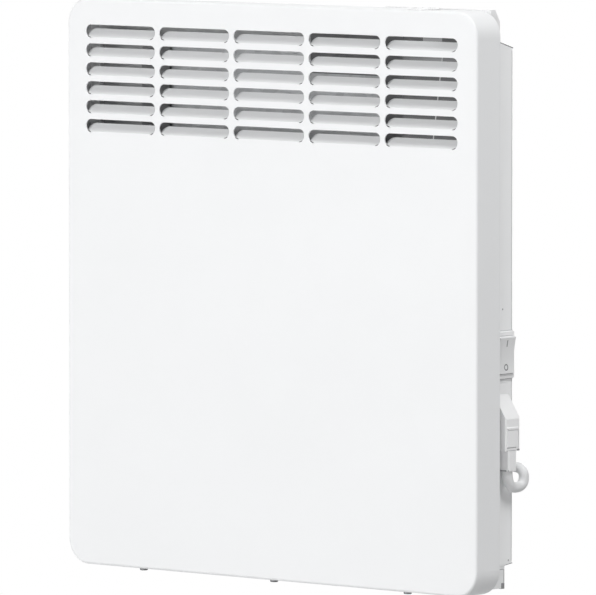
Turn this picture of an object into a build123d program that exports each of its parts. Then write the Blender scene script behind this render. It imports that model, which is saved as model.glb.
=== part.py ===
"""Wall panel convector heater, 425 x 450 x 80 mm, hung on a sheet-steel wall bracket.

Frame: X to the right as one faces the heater, Y from the front panel into the wall (wall at Y = 0),
Z up. The origin is the centre of the bracket's four wall screws. All sizes are in millimetres.
"""
from build123d import *
import math
import os

os.makedirs("parts", exist_ok=True)

# ---------------------------------------------------------------- driving dimensions
width = 425.0
height = 450.0
depth = 80.0                # wall to front panel
wall_gap = 25.0             # wall to casing
sheet = 1.0                 # steel sheet of cover and casing
seat = 0.3                  # clearance between pieces that seat on each other
cover_depth = 27.5
cover_radius = 20.0
fold_radius = 2.0

slot_columns = 5
slot_rows = 6
slot_side_margin = 19.7     # cover's side to the first and last slot
slot_bridge = 4.4           # sheet left between two columns
slot_pitch_z = 15.0
slot_height = 10.0
slot_margin = 20.5          # cover's top edge to the first slot
tongue_angle = 45.0
tongue_reach = 9.4
tongue_trim = 0.4           # punch clearance round a tongue's ends
relief_radius = 0.9

side_inset = 10.0           # cover's side to casing's side
casing_top_inset = 29.5     # cover's top to casing's top, at the rear
casing_top_rise = 8.6       # rise of the slanted top towards the front
casing_bottom_inset = 23.0
casing_bottom_drop = 3.5
flange_setback = 1.0        # cover's rear edge to casing's flange
casing_fold = 1.5

rail_depth = 19.3           # intake rail under the casing
rail_foot_gap = 0.5         # rail's bottom corners to the cover's rounded corners
rail_slot_length = 22.0
rail_slot_width = 9.0
rail_slot_pitch = 28.0
rail_slots = 13
intake_setback = 11.5       # casing's flange to the middle of the intake slots

knob_radius = 11.6
knob_inset = 56.0           # casing's side to knob axis
knob_setback = 14.0         # front panel to knob axis
knob_proud = 1.3
knob_height = 13.0
shaft_radius = 3.0
running = 0.05              # radial clearance of a turning fit

housing_width = 107.5       # control housing
housing_rear = 41.3         # wall to housing
housing_proud = 0.6
housing_wall = 2.0
housing_slope_y = 5.5       # slanted rear edge of its top
housing_slope_z = 9.0

switch_height = 36.7        # bezel
switch_width = 22.4
switch_y = -36.6
switch_z = -40.3
bezel = 2.0
rocker_width = 18.4
rocker_swing = 14.73        # radius of the rocker's ends about its pivot
rocker_gap = 0.35
rocker_pin = 1.2
rocker_top_proud = 5.4
rocker_bottom_proud = 3.8

outlet_width = 17.0         # cable outlet on the casing's side
outlet_thick = 12.0
outlet_top = -70.7
outlet_roof = 18.2
outlet_bottom = -113.8
outlet_y = -39.2
spigot_rise = 22.0          # outlet's bottom to its spigot through the casing
spigot_length = 12.0
neck_length = 15.5
neck_setoff = 6.3           # casing's side to the neck's and the cord's axis
neck_width = 11.4
neck_thick = 9.8

cord_diameter = 8.2
coil_radius = 46.0
coil_pitch = 9.0
plug_lean = 20.0            # cord's last stretch leans away from the bracket's rail
plug_lead = 22.0
plug_width = 36.0
plug_thick = 16.0
plug_body = 38.0
plug_pin_radius = 2.4
plug_pin_pitch = 19.0
plug_pin_length = 19.0
coil_inset = 68.5           # casing's side to the coil's centre
coil_turns = 1.375          # in each of the two layers

bracket_sheet = 1.5
rail_x = 65.0               # bracket rail centres
rail_width = 30.0
wall_hole_z = 120.0
wall_hole_radius = 3.25
catch_travel = 8.0

element_side_gap = 27.5     # casing's side to the element's fins
element_end_gap = 29.0      # element's fins to the partition
element_y = -52.4
element_rise = 82.0         # casing's bottom to the element
rod_radius = 4.0

compartment_width = 86.5    # partition to the casing's side
screw_radius = 1.9

# ---------------------------------------------------------------- derived planes
front_y = -depth
cover_rear_y = front_y + cover_depth
casing_rear_y = -wall_gap
flange_y = cover_rear_y - flange_setback
casing_x = width / 2 - side_inset
top_z = height / 2
casing_top_rear = top_z - casing_top_inset
casing_top_front = casing_top_rear + casing_top_rise
casing_bottom_rear = -top_z + casing_bottom_inset
casing_bottom_front = casing_bottom_rear - casing_bottom_drop
casing_depth = casing_rear_y - flange_y
slot_first_z = top_z - slot_margin - slot_height / 2
slot_middle_z = slot_first_z - slot_pitch_z * (slot_rows - 1) / 2
slot_span = width - 2 * slot_side_margin
slot_length = (slot_span - (slot_columns - 1) * slot_bridge) / slot_columns
slot_pitch_x = slot_length + slot_bridge
slot_low_z = slot_first_z - slot_pitch_z * (slot_rows - 1) - slot_height / 2
knob_x = casing_x - knob_inset
housing_left = casing_x - housing_width
coil_center_x = casing_x - coil_inset
partition_x = casing_x - compartment_width
element_left = -casing_x + element_side_gap
element_right = partition_x - element_end_gap
element_length = element_right - element_left
element_x = (element_left + element_right) / 2
element_z = casing_bottom_rear + element_rise
intake_y = flange_y + intake_setback
cut = 40.0                  # length of a cutting tool past what it cuts


def casing_top(y):
    """Height of the casing's slanted top at depth y."""
    return casing_top_rear + casing_top_rise * (casing_rear_y - y) / casing_depth


def casing_bottom(y):
    """Height of the casing's slanted bottom at depth y."""
    return casing_bottom_rear - casing_bottom_drop * (casing_rear_y - y) / casing_depth


def facing(y):
    """Plane facing the room at depth y, with X to the right and Z up."""
    return Plane.XZ.offset(-y)


# ---------------------------------------------------------------- front cover
slot_zs = [slot_first_z - row * slot_pitch_z for row in range(slot_rows)]
screw_side_margin = 75.0
screw_setback = 6.5
screw_xs = [-width / 2 + screw_side_margin, 0.0, width / 2 - screw_side_margin]
screw_y = front_y + screw_setback

with BuildPart() as front_cover:
    with BuildSketch(facing(cover_rear_y)):
        RectangleRounded(width, height, cover_radius)
    extrude(amount=cover_depth)
    front_face = front_cover.faces().sort_by(Axis.Y)[0]
    fillet(front_face.edges(), fold_radius)
    offset(amount=-sheet, openings=front_cover.faces().sort_by(Axis.Y)[-1])
    with BuildSketch(facing(front_y + 2 * sheet)):
        with Locations((0, slot_middle_z)):
            with GridLocations(slot_pitch_x, slot_pitch_z, slot_columns, slot_rows):
                SlotOverall(slot_length, slot_height)
        hinge_half = (slot_length - slot_height) / 2
        with Locations((0, slot_middle_z - slot_height / 2)):
            with GridLocations(slot_pitch_x, slot_pitch_z, slot_columns, slot_rows):
                with Locations((-hinge_half, 0), (hinge_half, 0)):
                    Circle(relief_radius)
    extrude(amount=3 * sheet, mode=Mode.SUBTRACT)
    for slot_z in slot_zs:
        hinge = Plane(
            origin=(0, front_y, slot_z - slot_height / 2),
            x_dir=(1, 0, 0),
            z_dir=(0, -math.cos(math.radians(tongue_angle)), math.sin(math.radians(tongue_angle))),
        )
        with BuildSketch(hinge):
            with GridLocations(slot_pitch_x, 1, slot_columns, 1):
                with Locations((0, tongue_reach / 2)):
                    SlotOverall(slot_length - 2 * tongue_trim, tongue_reach)
        extrude(amount=-sheet)
    with BuildSketch(Plane.XY.offset(top_z - 2 * sheet)):
        with Locations((knob_x, front_y + knob_setback)):
            Circle(knob_radius + 0.6)
    extrude(amount=3 * sheet, mode=Mode.SUBTRACT)
    with BuildSketch(Plane.XY.offset(-top_z - sheet)):
        with Locations([(x, screw_y) for x in screw_xs]):
            Circle(screw_radius + 0.2)
    extrude(amount=3 * sheet, mode=Mode.SUBTRACT)
front_cover.part.label = "front_cover"
export_step(front_cover.part, "parts/front_cover.step")

# ---------------------------------------------------------------- rear casing
hook_rise_z = 48.0
hook_z = casing_bottom_rear + hook_rise_z      # upper side of the bracket's hooks
hook_width = 12.0
stand_height = 7.5          # upstand behind each locking catch
stand_width = 32.0
foot_gap = 6.0
element_feet_x = [element_left - foot_gap, element_right + foot_gap]
switch_body_width = rocker_width + 2 * rocker_gap + 1.6
switch_body_height = 2 * (rocker_swing + rocker_gap) + 2.0
flange_clear = sheet + seat
spigot_radius = 7.0
grommet_z = -100.0

with BuildPart() as rear_casing:
    with BuildSketch(Plane.YZ):
        with BuildLine():
            Polyline(
                (casing_rear_y, casing_top_rear),
                (flange_y, casing_top_front),
                (flange_y, casing_bottom_front),
                (casing_rear_y, casing_bottom_rear),
                close=True,
            )
        make_face()
    extrude(amount=casing_x, both=True)
    back_edges = rear_casing.faces().sort_by(Axis.Y)[-1].edges()
    fillet(back_edges, casing_fold)
    offset(amount=-sheet, openings=rear_casing.faces().sort_by(Axis.Y)[0])
    mouth_height = casing_top_front - casing_bottom_front - 2 * sheet
    mouth_middle = (casing_top_front + casing_bottom_front) / 2
    with BuildSketch(facing(flange_y)):
        RectangleRounded(width - 2 * flange_clear, height - 2 * flange_clear, cover_radius - flange_clear)
        with Locations((0, mouth_middle)):
            Rectangle(2 * (casing_x - sheet), mouth_height, mode=Mode.SUBTRACT)
        housing_span = casing_x - housing_left
        with Locations(((casing_x + housing_left) / 2, casing_top_front + cut / 2)):
            Rectangle(housing_span + 2 * seat, cut, mode=Mode.SUBTRACT)
    extrude(amount=sheet)
    with BuildSketch(facing(casing_rear_y)):
        with Locations((-rail_x, casing_top_rear), (rail_x, casing_top_rear)):
            Rectangle(stand_width, 2 * stand_height)
    extrude(amount=sheet)
    with BuildSketch(facing(casing_rear_y + sheet)):
        with Locations((-rail_x, hook_z - 8), (rail_x, hook_z - 8)):
            Rectangle(hook_width + 2, 16 + 2 * seat)
    extrude(amount=3 * sheet, mode=Mode.SUBTRACT)
    with BuildSketch(Plane.XY.offset(casing_bottom_front - 2 * sheet)):
        with Locations((0, intake_y)):
            with GridLocations(rail_slot_pitch, 1, rail_slots, 1):
                SlotOverall(rail_slot_length, rail_slot_width)
    extrude(amount=cut / 4, mode=Mode.SUBTRACT)
    with BuildSketch(Plane.YZ.offset(casing_x - 2 * sheet)):
        with Locations((switch_y, switch_z)):
            Rectangle(switch_body_width + seat, switch_body_height + seat)
        with Locations((outlet_y, outlet_bottom + spigot_rise)):
            Circle(spigot_radius + seat)
    extrude(amount=3 * sheet, mode=Mode.SUBTRACT)
rear_casing.part.label = "rear_casing"
export_step(rear_casing.part, "parts/rear_casing.step")

# ---------------------------------------------------------------- intake rail and its end plugs
rail_rear_y = flange_y + rail_depth
rail_half = casing_x - 0.5
corner_run = rail_half - (width / 2 - cover_radius)
corner_drop = math.sqrt((cover_radius - sheet) ** 2 - max(corner_run, 0) ** 2)
rail_bottom = -top_z + cover_radius - corner_drop + rail_foot_gap
plug_size = 4.0

with BuildPart() as intake_rail:
    with BuildSketch(Plane.YZ):
        with BuildLine():
            Polyline(
                (flange_y, casing_bottom(flange_y)),
                (rail_rear_y, casing_bottom(rail_rear_y)),
                (rail_rear_y, rail_bottom),
                (flange_y, rail_bottom),
                close=True,
            )
        make_face()
    extrude(amount=rail_half, both=True)
    open_sides = [intake_rail.faces().sort_by(Axis.Z)[-1], intake_rail.faces().sort_by(Axis.Y)[0]]
    offset(amount=-sheet, openings=open_sides)
    with BuildSketch(Plane.XY.offset(rail_bottom - sheet)):
        with Locations((0, intake_y)):
            with GridLocations(rail_slot_pitch, 1, rail_slots, 1):
                SlotOverall(rail_slot_length, rail_slot_width)
    extrude(amount=3 * sheet, mode=Mode.SUBTRACT)
    with BuildSketch(Plane.XY.offset(rail_bottom - sheet)):
        with Locations((-rail_half, rail_rear_y), (rail_half, rail_rear_y)):
            Rectangle(2 * plug_size, 2 * plug_size)
    extrude(amount=plug_size + sheet, mode=Mode.SUBTRACT)
intake_rail.part.label = "intake_rail"
export_step(intake_rail.part, "parts/intake_rail.step")

with BuildPart() as rail_end_plugs:
    plug_middle_x = rail_half - plug_size / 2
    with BuildSketch(Plane.XY.offset(rail_bottom - 0.5)):
        with Locations((-plug_middle_x, rail_rear_y - plug_size / 2), (plug_middle_x, rail_rear_y - plug_size / 2)):
            Rectangle(plug_size, plug_size)
    extrude(amount=plug_size + 0.5)
rail_end_plugs.part.label = "rail_end_plugs"
export_step(rail_end_plugs.part, "parts/rail_end_plugs.step")

# ---------------------------------------------------------------- cover screws
with BuildPart() as cover_screws:
    with BuildSketch(Plane.XY.offset(-top_z)):
        with Locations([(x, screw_y) for x in screw_xs]):
            Circle(3.2)
    extrude(amount=-1.9)
    fillet(cover_screws.edges().group_by(Axis.Z)[0], 0.8)
    with BuildSketch(Plane.XY.offset(-top_z)):
        with Locations([(x, screw_y) for x in screw_xs]):
            Circle(screw_radius)
    extrude(amount=9.0)
cover_screws.part.label = "cover_screws"
export_step(cover_screws.part, "parts/cover_screws.step")

# ---------------------------------------------------------------- control housing, top right
housing_top = top_z + housing_proud
deck_drop = 18.5
deck_z = top_z - deck_drop
deck_thick = 2.5
deck_front = front_y + sheet + seat
well_radius = knob_radius + 1.4
knob_y = front_y + knob_setback
under_cover = top_z - sheet - seat
slope_run = math.hypot(housing_slope_y, housing_slope_z)
slope_inner_z = housing_top - housing_slope_z - housing_wall * (slope_run - housing_slope_z) / housing_slope_y
slope_inner_y = -housing_rear - housing_slope_y - housing_wall * (slope_run - housing_slope_y) / housing_slope_z

with BuildPart() as control_housing:
    with BuildSketch(Plane.YZ.offset(housing_left)):
        with BuildLine():
            Polyline(
                (-housing_rear, casing_top(-housing_rear) + seat),
                (-housing_rear, housing_top - housing_slope_z),
                (-housing_rear - housing_slope_y, housing_top),
                (cover_rear_y + seat, housing_top),
                (cover_rear_y + seat, casing_top(cover_rear_y) + seat),
                close=True,
            )
        make_face()
    extrude(amount=casing_x - housing_left)
    with BuildSketch(Plane.YZ.offset(housing_left + housing_wall)):
        with BuildLine():
            Polyline(
                (-housing_rear - housing_wall, casing_top(-housing_rear) - 5),
                (-housing_rear - housing_wall, slope_inner_z),
                (slope_inner_y, housing_top - housing_wall),
                (cover_rear_y + seat + housing_wall, housing_top - housing_wall),
                (cover_rear_y + seat + housing_wall, casing_top(cover_rear_y) - 5),
                close=True,
            )
        make_face()
    extrude(amount=casing_x - housing_left - 2 * housing_wall, mode=Mode.SUBTRACT)
    with BuildSketch(Plane.XY.offset(deck_z)):
        deck_depth = cover_rear_y + seat + housing_wall - deck_front
        with Locations((knob_x, deck_front + deck_depth / 2)):
            Rectangle(2 * well_radius + 12, deck_depth)
    extrude(amount=deck_thick)
    with BuildSketch(Plane.XY.offset(deck_z)):
        with Locations((knob_x, knob_y)):
            Circle(well_radius + 1.6)
        with Locations((knob_x, deck_front - cut / 2)):
            Rectangle(cut * 2, cut, mode=Mode.SUBTRACT)
        with Locations((knob_x, cover_rear_y - seat + cut / 2)):
            Rectangle(cut * 2, cut, mode=Mode.SUBTRACT)
    extrude(amount=under_cover - deck_z)
    with BuildSketch(Plane.XY.offset(deck_z + deck_thick)):
        with Locations((knob_x, knob_y)):
            Circle(well_radius)
    extrude(amount=cut, mode=Mode.SUBTRACT)
    with Locations(Plane.XY.offset(deck_z + deck_thick) * Location((knob_x, knob_y, 0))):
        Hole(radius=4.0)
control_housing.part.label = "control_housing"
export_step(control_housing.part, "parts/control_housing.step")

# ---------------------------------------------------------------- setpoint unit, shaft and knob
unit_width = 20.0
unit_depth = 11.6
unit_height = 28.5
bushing_radius = 3.8
bushing_top = deck_z + deck_thick + 3.5

with BuildPart() as setpoint_unit:
    with BuildSketch(Plane.XY.offset(deck_z - unit_height)):
        with Locations((knob_x, knob_y)):
            RectangleRounded(unit_width, unit_depth, 1.5)
    extrude(amount=unit_height)
    with BuildSketch(Plane.XY.offset(deck_z)):
        with Locations((knob_x, knob_y)):
            Circle(bushing_radius)
    extrude(amount=bushing_top - deck_z)
    with BuildSketch(Plane.XY.offset(bushing_top)):
        with Locations((knob_x, knob_y)):
            Circle(shaft_radius + running)
    extrude(amount=-(bushing_top - deck_z) - 6, mode=Mode.SUBTRACT)
setpoint_unit.part.label = "setpoint_unit"
export_step(setpoint_unit.part, "parts/setpoint_unit.step")

nut_z = deck_z + deck_thick
with BuildPart() as setpoint_nut:
    with BuildSketch(Plane.XY.offset(nut_z)):
        with Locations((knob_x, knob_y)):
            RegularPolygon(5.5, 6)
            Circle(bushing_radius + 0.02, mode=Mode.SUBTRACT)
    extrude(amount=2.4)
setpoint_nut.part.label = "setpoint_nut"
export_step(setpoint_nut.part, "parts/setpoint_nut.step")

knob_top = top_z + knob_proud
knob_bottom = knob_top - knob_height
shaft_top = knob_top - 4.0
with BuildPart() as setpoint_shaft:
    with BuildSketch(Plane.XY.offset(deck_z - 5)):
        with Locations((knob_x, knob_y)):
            Circle(shaft_radius)
    extrude(amount=shaft_top - deck_z + 5)
    with BuildSketch(Plane.XY.offset(bushing_top + 0.3)):
        with Locations((knob_x + shaft_radius, knob_y)):
            Rectangle(2.4, 2 * shaft_radius)
    extrude(amount=cut, mode=Mode.SUBTRACT)
setpoint_shaft.part.label = "setpoint_shaft"
export_step(setpoint_shaft.part, "parts/setpoint_shaft.step")

with BuildPart() as control_knob:
    with BuildSketch(Plane.XY.offset(knob_bottom)):
        with Locations((knob_x, knob_y)):
            Circle(knob_radius)
            with PolarLocations(knob_radius + 0.5, 24):
                Circle(0.9, mode=Mode.SUBTRACT)
    extrude(amount=knob_height)
    chamfer(control_knob.faces().sort_by(Axis.Z)[-1].edges(), 0.3)
    with BuildSketch(Plane.XY.offset(knob_bottom)):
        with Locations((knob_x, knob_y)):
            Circle(knob_radius - 2.4)
            Circle(shaft_radius + 1.8, mode=Mode.SUBTRACT)
    extrude(amount=knob_height - 2.2, mode=Mode.SUBTRACT)
    with BuildSketch(Plane.XY.offset(knob_bottom)):
        with Locations((knob_x, knob_y)):
            Circle(shaft_radius)
        with Locations((knob_x + shaft_radius, knob_y)):
            Rectangle(2.4, 2 * shaft_radius, mode=Mode.SUBTRACT)
    extrude(amount=shaft_top - knob_bottom, mode=Mode.SUBTRACT)
    with BuildSketch(Plane.XY.offset(knob_top)):
        with Locations((knob_x, knob_y - knob_radius / 2 - 1.5)):
            SlotOverall(knob_radius - 4, 1.2, rotation=90)
    extrude(amount=-0.5, mode=Mode.SUBTRACT)
control_knob.part.label = "control_knob"
export_step(control_knob.part, "parts/control_knob.step")

# ---------------------------------------------------------------- rocker switch
pivot_x = casing_x - 0.2
opening_width = rocker_width + 2 * rocker_gap
opening_height = 2 * (rocker_swing + rocker_gap)
switch_depth = 18.0
rocker_floor = 12.0
rocker_y = switch_y + 0.3

with BuildPart() as switch_frame:
    with BuildSketch(Plane.YZ.offset(casing_x)):
        with Locations((switch_y, switch_z)):
            RectangleRounded(switch_width, switch_height, 1.5)
    extrude(amount=bezel)
    chamfer(switch_frame.faces().sort_by(Axis.X)[-1].edges(), 0.5)
    with BuildSketch(Plane.YZ.offset(casing_x)):
        with Locations((rocker_y - 0.3, switch_z)):
            Rectangle(switch_body_width, switch_body_height)
    extrude(amount=-switch_depth)
    with BuildSketch(Plane.YZ.offset(casing_x + bezel)):
        with Locations((rocker_y - 0.3, switch_z)):
            Rectangle(opening_width, opening_height)
    extrude(amount=-rocker_floor, mode=Mode.SUBTRACT)
    with BuildSketch(facing(switch_y)):
        with Locations((pivot_x, switch_z)):
            Circle(rocker_pin + running)
    extrude(amount=switch_width / 2 - 0.4, both=True, mode=Mode.SUBTRACT)
switch_frame.part.label = "switch_frame"
export_step(switch_frame.part, "parts/switch_frame.step")

rocker_back = 2.0
with BuildPart() as switch_rocker:
    with BuildSketch(facing(rocker_y - 0.3)):
        top_face = pivot_x + rocker_top_proud
        low_face = pivot_x + rocker_bottom_proud
        top_z_out = switch_z + math.sqrt(rocker_swing ** 2 - rocker_top_proud ** 2)
        low_z_out = switch_z - math.sqrt(rocker_swing ** 2 - rocker_bottom_proud ** 2)
        inner_half = math.sqrt(rocker_swing ** 2 - rocker_back ** 2)
        with BuildLine():
            ThreePointArc((top_face, top_z_out), (pivot_x + 3.2, switch_z), (low_face, low_z_out))
            ThreePointArc(
                (low_face, low_z_out),
                (pivot_x, switch_z - rocker_swing),
                (pivot_x - rocker_back, switch_z - inner_half),
            )
            Line((pivot_x - rocker_back, switch_z - inner_half), (pivot_x - rocker_back, switch_z + inner_half))
            ThreePointArc(
                (pivot_x - rocker_back, switch_z + inner_half),
                (pivot_x, switch_z + rocker_swing),
                (top_face, top_z_out),
            )
        make_face()
    extrude(amount=rocker_width / 2, both=True)
    fillet(switch_rocker.edges().filter_by(Axis.Y).group_by(Axis.X)[-1], 0.7)
    with BuildSketch(facing(rocker_y - 0.3)):
        with Locations((pivot_x, switch_z)):
            Circle(rocker_pin)
    extrude(amount=opening_width / 2 + 0.5, both=True)
switch_rocker.part.label = "switch_rocker"
export_step(switch_rocker.part, "parts/switch_rocker.step")

with BuildPart() as switch_blades:
    with BuildSketch(Plane.YZ.offset(casing_x - switch_depth)):
        with Locations((switch_y, switch_z)):
            with GridLocations(9.0, 9.0, 2, 2):
                Rectangle(0.8, 6.3)
    extrude(amount=-8.0)
switch_blades.part.label = "switch_blades"
export_step(switch_blades.part, "parts/switch_blades.step")

# ---------------------------------------------------------------- cable outlet on the side
neck_x = casing_x + neck_setoff
neck_end = outlet_bottom - neck_length
outlet_outer = casing_x + outlet_thick
spigot_z = outlet_bottom + spigot_rise
rim_z = outlet_top - outlet_roof - 8.0

with BuildPart() as cable_outlet:
    with BuildSketch(facing(outlet_y)):
        with BuildLine():
            Polyline(
                (casing_x, outlet_top),
                (outlet_outer, outlet_top - outlet_roof),
                (outlet_outer, outlet_bottom),
                (casing_x, outlet_bottom),
                close=True,
            )
        make_face()
    extrude(amount=outlet_width / 2, both=True)
    outer_edges = cable_outlet.edges().group_by(Axis.X)[-1]
    fillet(outer_edges, 1.2)
    with BuildSketch(Plane.YZ.offset(outlet_outer)):
        with Locations((outlet_y + outlet_width / 2 - 1.7, (rim_z + outlet_bottom) / 2 + 0.6)):
            Rectangle(0.6, rim_z - outlet_bottom - 4.2)
        with Locations((outlet_y - 1.6, outlet_bottom + 2.6)):
            Rectangle(outlet_width - 6.2, 0.9)
    extrude(amount=-1.1, mode=Mode.SUBTRACT)
    with BuildSketch(Plane.YZ.offset(outlet_outer)):
        with Locations((outlet_y - 1.0, (rim_z + outlet_bottom) / 2 + 1.0)):
            Rectangle(outlet_width - 5.4, rim_z - outlet_bottom - 4.2)
    extrude(amount=0.5)
    with BuildSketch(Plane.YZ.offset(outlet_outer - 0.5)):
        with Locations((outlet_y, rim_z + 0.6)):
            SlotOverall(outlet_width - 2.4, 2.8)
    extrude(amount=1.5, taper=28)
    with BuildSketch(Plane.XY.offset(outlet_bottom)):
        with Locations((neck_x, outlet_y)):
            RectangleRounded(neck_width, neck_thick, 1.5)
    extrude(amount=-neck_length, taper=1.0)
    with BuildSketch(Plane.YZ.offset(casing_x)):
        with Locations((outlet_y, spigot_z)):
            Circle(spigot_radius)
    extrude(amount=-spigot_length)
    with BuildSketch(Plane.YZ.offset(casing_x - spigot_length)):
        with Locations((outlet_y, spigot_z)):
            Circle(cord_diameter / 2 + 0.2)
    extrude(amount=spigot_length, mode=Mode.SUBTRACT)
cable_outlet.part.label = "cable_outlet"
export_step(cable_outlet.part, "parts/cable_outlet.step")

with BuildPart() as outlet_nut:
    with BuildSketch(Plane.YZ.offset(casing_x - sheet)):
        with Locations((outlet_y, spigot_z)):
            RegularPolygon(11.5, 6)
            Circle(spigot_radius + 0.02, mode=Mode.SUBTRACT)
    extrude(amount=-4.0)
outlet_nut.part.label = "outlet_nut"
export_step(outlet_nut.part, "parts/outlet_nut.step")

# ---------------------------------------------------------------- mains cord, free stretch
cord_back_y = -19.0
cord_low_z = -143.0
cord_high_z = -127.3
coil_z = coil_radius + cord_high_z - 1.8
coil_start_x = coil_center_x + cord_diameter
cord_route = [
    (neck_x, outlet_y, neck_end),
    (neck_x, outlet_y, cord_low_z),
    (neck_x, cord_back_y, cord_low_z),
    (neck_x, cord_back_y, cord_high_z),
    (casing_x - 21.5, cord_back_y, coil_z - coil_radius),
    (coil_start_x, cord_back_y, coil_z - coil_radius),
]


def corner_radii(route, share=0.45):
    """Largest tangent arc at each inner point of a route, from the shorter of its two runs."""
    radii = []
    for before, here, after in zip(route, route[1:], route[2:]):
        run_in = Vector(*here) - Vector(*before)
        run_out = Vector(*after) - Vector(*here)
        half_turn = math.radians(run_in.get_angle(run_out)) / 2
        radii.append(share * min(run_in.length, run_out.length) / math.tan(half_turn))
    return radii


fold_share = 0.48
cord_radii = corner_radii(cord_route, fold_share)
cord_radii[0] = fold_share * (cord_back_y - outlet_y)
with BuildPart() as mains_cord:
    with BuildLine() as cord_path:
        FilletPolyline(*cord_route, radius=cord_radii)
    with BuildSketch(Plane(origin=cord_route[0], z_dir=(0, 0, -1))):
        Circle(cord_diameter / 2)
    sweep(path=cord_path.line)
mains_cord.part.label = "mains_cord"
export_step(mains_cord.part, "parts/mains_cord.step")
cord_section = math.pi * (cord_diameter / 2) ** 2
cord_wire = cord_path.wires()[0]
print("cord radii", [round(radius, 1) for radius in cord_radii])
print("cord length", round(cord_wire.length, 1), "volume / (section x length)",
      round(mains_cord.part.volume / (cord_section * cord_wire.length), 4))

# ---------------------------------------------------------------- mains cord, coil behind the casing
inward = 2 * math.pi * coil_turns


def coil_point(angle):
    """Centre line of the coil: spiral in, climb one layer in half a turn, spiral out."""
    if angle <= inward:
        radius = coil_radius - coil_pitch * angle / (2 * math.pi)
        layer = 0.0
    elif angle <= inward + math.pi:
        radius = coil_radius - coil_pitch * (coil_turns + math.sin(angle - inward) / (2 * math.pi))
        layer = (1 - math.cos(angle - inward)) / 2
    else:
        radius = coil_radius - coil_pitch * coil_turns
        radius += coil_pitch * (angle - inward - math.pi) / (2 * math.pi)
        layer = 1.0
    turned = -math.pi / 2 - angle
    return Vector(
        coil_center_x + radius * math.cos(turned),
        cord_back_y + coil_pitch * layer,
        coil_z + radius * math.sin(turned),
    )


def coil_tangent(angle, last):
    """Direction of travel, square to the straight ends."""
    if angle <= 0:
        return Vector(-1, 0, 0)
    step = 0.02
    if angle >= last:
        return Vector(0, 0, 1)
    return (coil_point(angle + step) - coil_point(angle - step)).normalized()


def biarc(start, start_dir, end, end_dir):
    """Joint of the two tangent arcs that lead from one point and direction to another."""
    chord = end - start
    both = start_dir + end_dir
    a = 2 * (start_dir.dot(end_dir) - 1)
    b = -2 * chord.dot(both)
    c = chord.dot(chord)
    reach = -c / b if abs(a) < 1e-9 else (-b - math.sqrt(b * b - 4 * a * c)) / (2 * a)
    return (start + start_dir * reach + end - end_dir * reach) * 0.5


coil_last = 2 * inward + math.pi
lean_radius = 5 * cord_diameter
lean = math.radians(plug_lean)
coil_last_lean = coil_point(coil_last) + Vector(
    lean_radius * (1 - math.cos(lean)), 0, lean_radius * math.sin(lean)
)
quarter = math.pi / 2
coil_steps = round(coil_last / quarter)
with BuildPart() as cord_coil:
    with BuildLine() as coil_path:
        here = coil_point(0)
        heading = coil_tangent(0, coil_last)
        Line(here - heading * cord_diameter, here)
        for step in range(1, coil_steps + 1):
            there = coil_point(step * quarter)
            way = coil_tangent(step * quarter, coil_last)
            joint = biarc(here, heading, there, way)
            first = TangentArc(here, joint, tangent=heading)
            TangentArc(joint, there, tangent=first % 1)
            here, heading = there, way
        leaned = coil_last_lean
        bend = TangentArc(here, leaned, tangent=heading)
        plug_way = bend % 1
        plug_seat = leaned + plug_way * plug_lead
        Line(leaned, plug_seat)
    with BuildSketch(Plane(origin=coil_point(0) + Vector(cord_diameter, 0, 0), z_dir=(-1, 0, 0))):
        Circle(cord_diameter / 2)
    sweep(path=coil_path.wires()[0])
cord_coil.part.label = "cord_coil"
export_step(cord_coil.part, "parts/cord_coil.step")
samples = [coil_point(coil_last * k / 720) for k in range(721)]
apart = 90
least = min(
    (samples[i] - samples[j]).length
    for i in range(0, 721, 4)
    for j in range(i + apart, 721, 4)
)
coil_wire = coil_path.wires()[0]
print("coil turns", round(coil_last / (2 * math.pi), 2), "least gap", round(least - cord_diameter, 2),
      "length", round(coil_wire.length, 1), "volume ratio",
      round(cord_coil.part.volume / (cord_section * coil_wire.length), 4))

# ---------------------------------------------------------------- flat plug on the cord's end, tie round the coil
relief_length = 15.0
plug_face = Plane(origin=plug_seat, x_dir=(math.cos(lean), 0, -math.sin(lean)), z_dir=plug_way)
with BuildPart() as mains_plug:
    with BuildSketch(plug_face):
        Circle(cord_diameter / 2 + 1.0)
    with BuildSketch(plug_face.offset(relief_length)):
        Circle(cord_diameter / 2 + 2.2)
    loft()
    with BuildSketch(plug_face.offset(relief_length)):
        SlotOverall(plug_width * 0.72, plug_thick * 0.8)
    with BuildSketch(plug_face.offset(relief_length + 12.0)):
        SlotOverall(plug_width, plug_thick)
    loft()
    with BuildSketch(plug_face.offset(relief_length + 12.0)):
        SlotOverall(plug_width, plug_thick)
    extrude(amount=plug_body - 12.0)
    with BuildSketch(plug_face.offset(relief_length + plug_body - 3)):
        with GridLocations(plug_pin_pitch, 1, 2, 1):
            Circle(plug_pin_radius + 0.02)
    extrude(amount=4, mode=Mode.SUBTRACT)
mains_plug.part.label = "mains_plug"
export_step(mains_plug.part, "parts/mains_plug.step")

with BuildPart() as plug_pins:
    with BuildSketch(plug_face.offset(relief_length + plug_body - 3)):
        with GridLocations(plug_pin_pitch, 1, 2, 1):
            Circle(plug_pin_radius)
    extrude(amount=plug_pin_length + 3)
    chamfer(plug_pins.faces().filter_by(GeomType.PLANE).sort_by(Axis.Z)[-2:].edges(), 0.8)
plug_pins.part.label = "plug_pins"
export_step(plug_pins.part, "parts/plug_pins.step")

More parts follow.
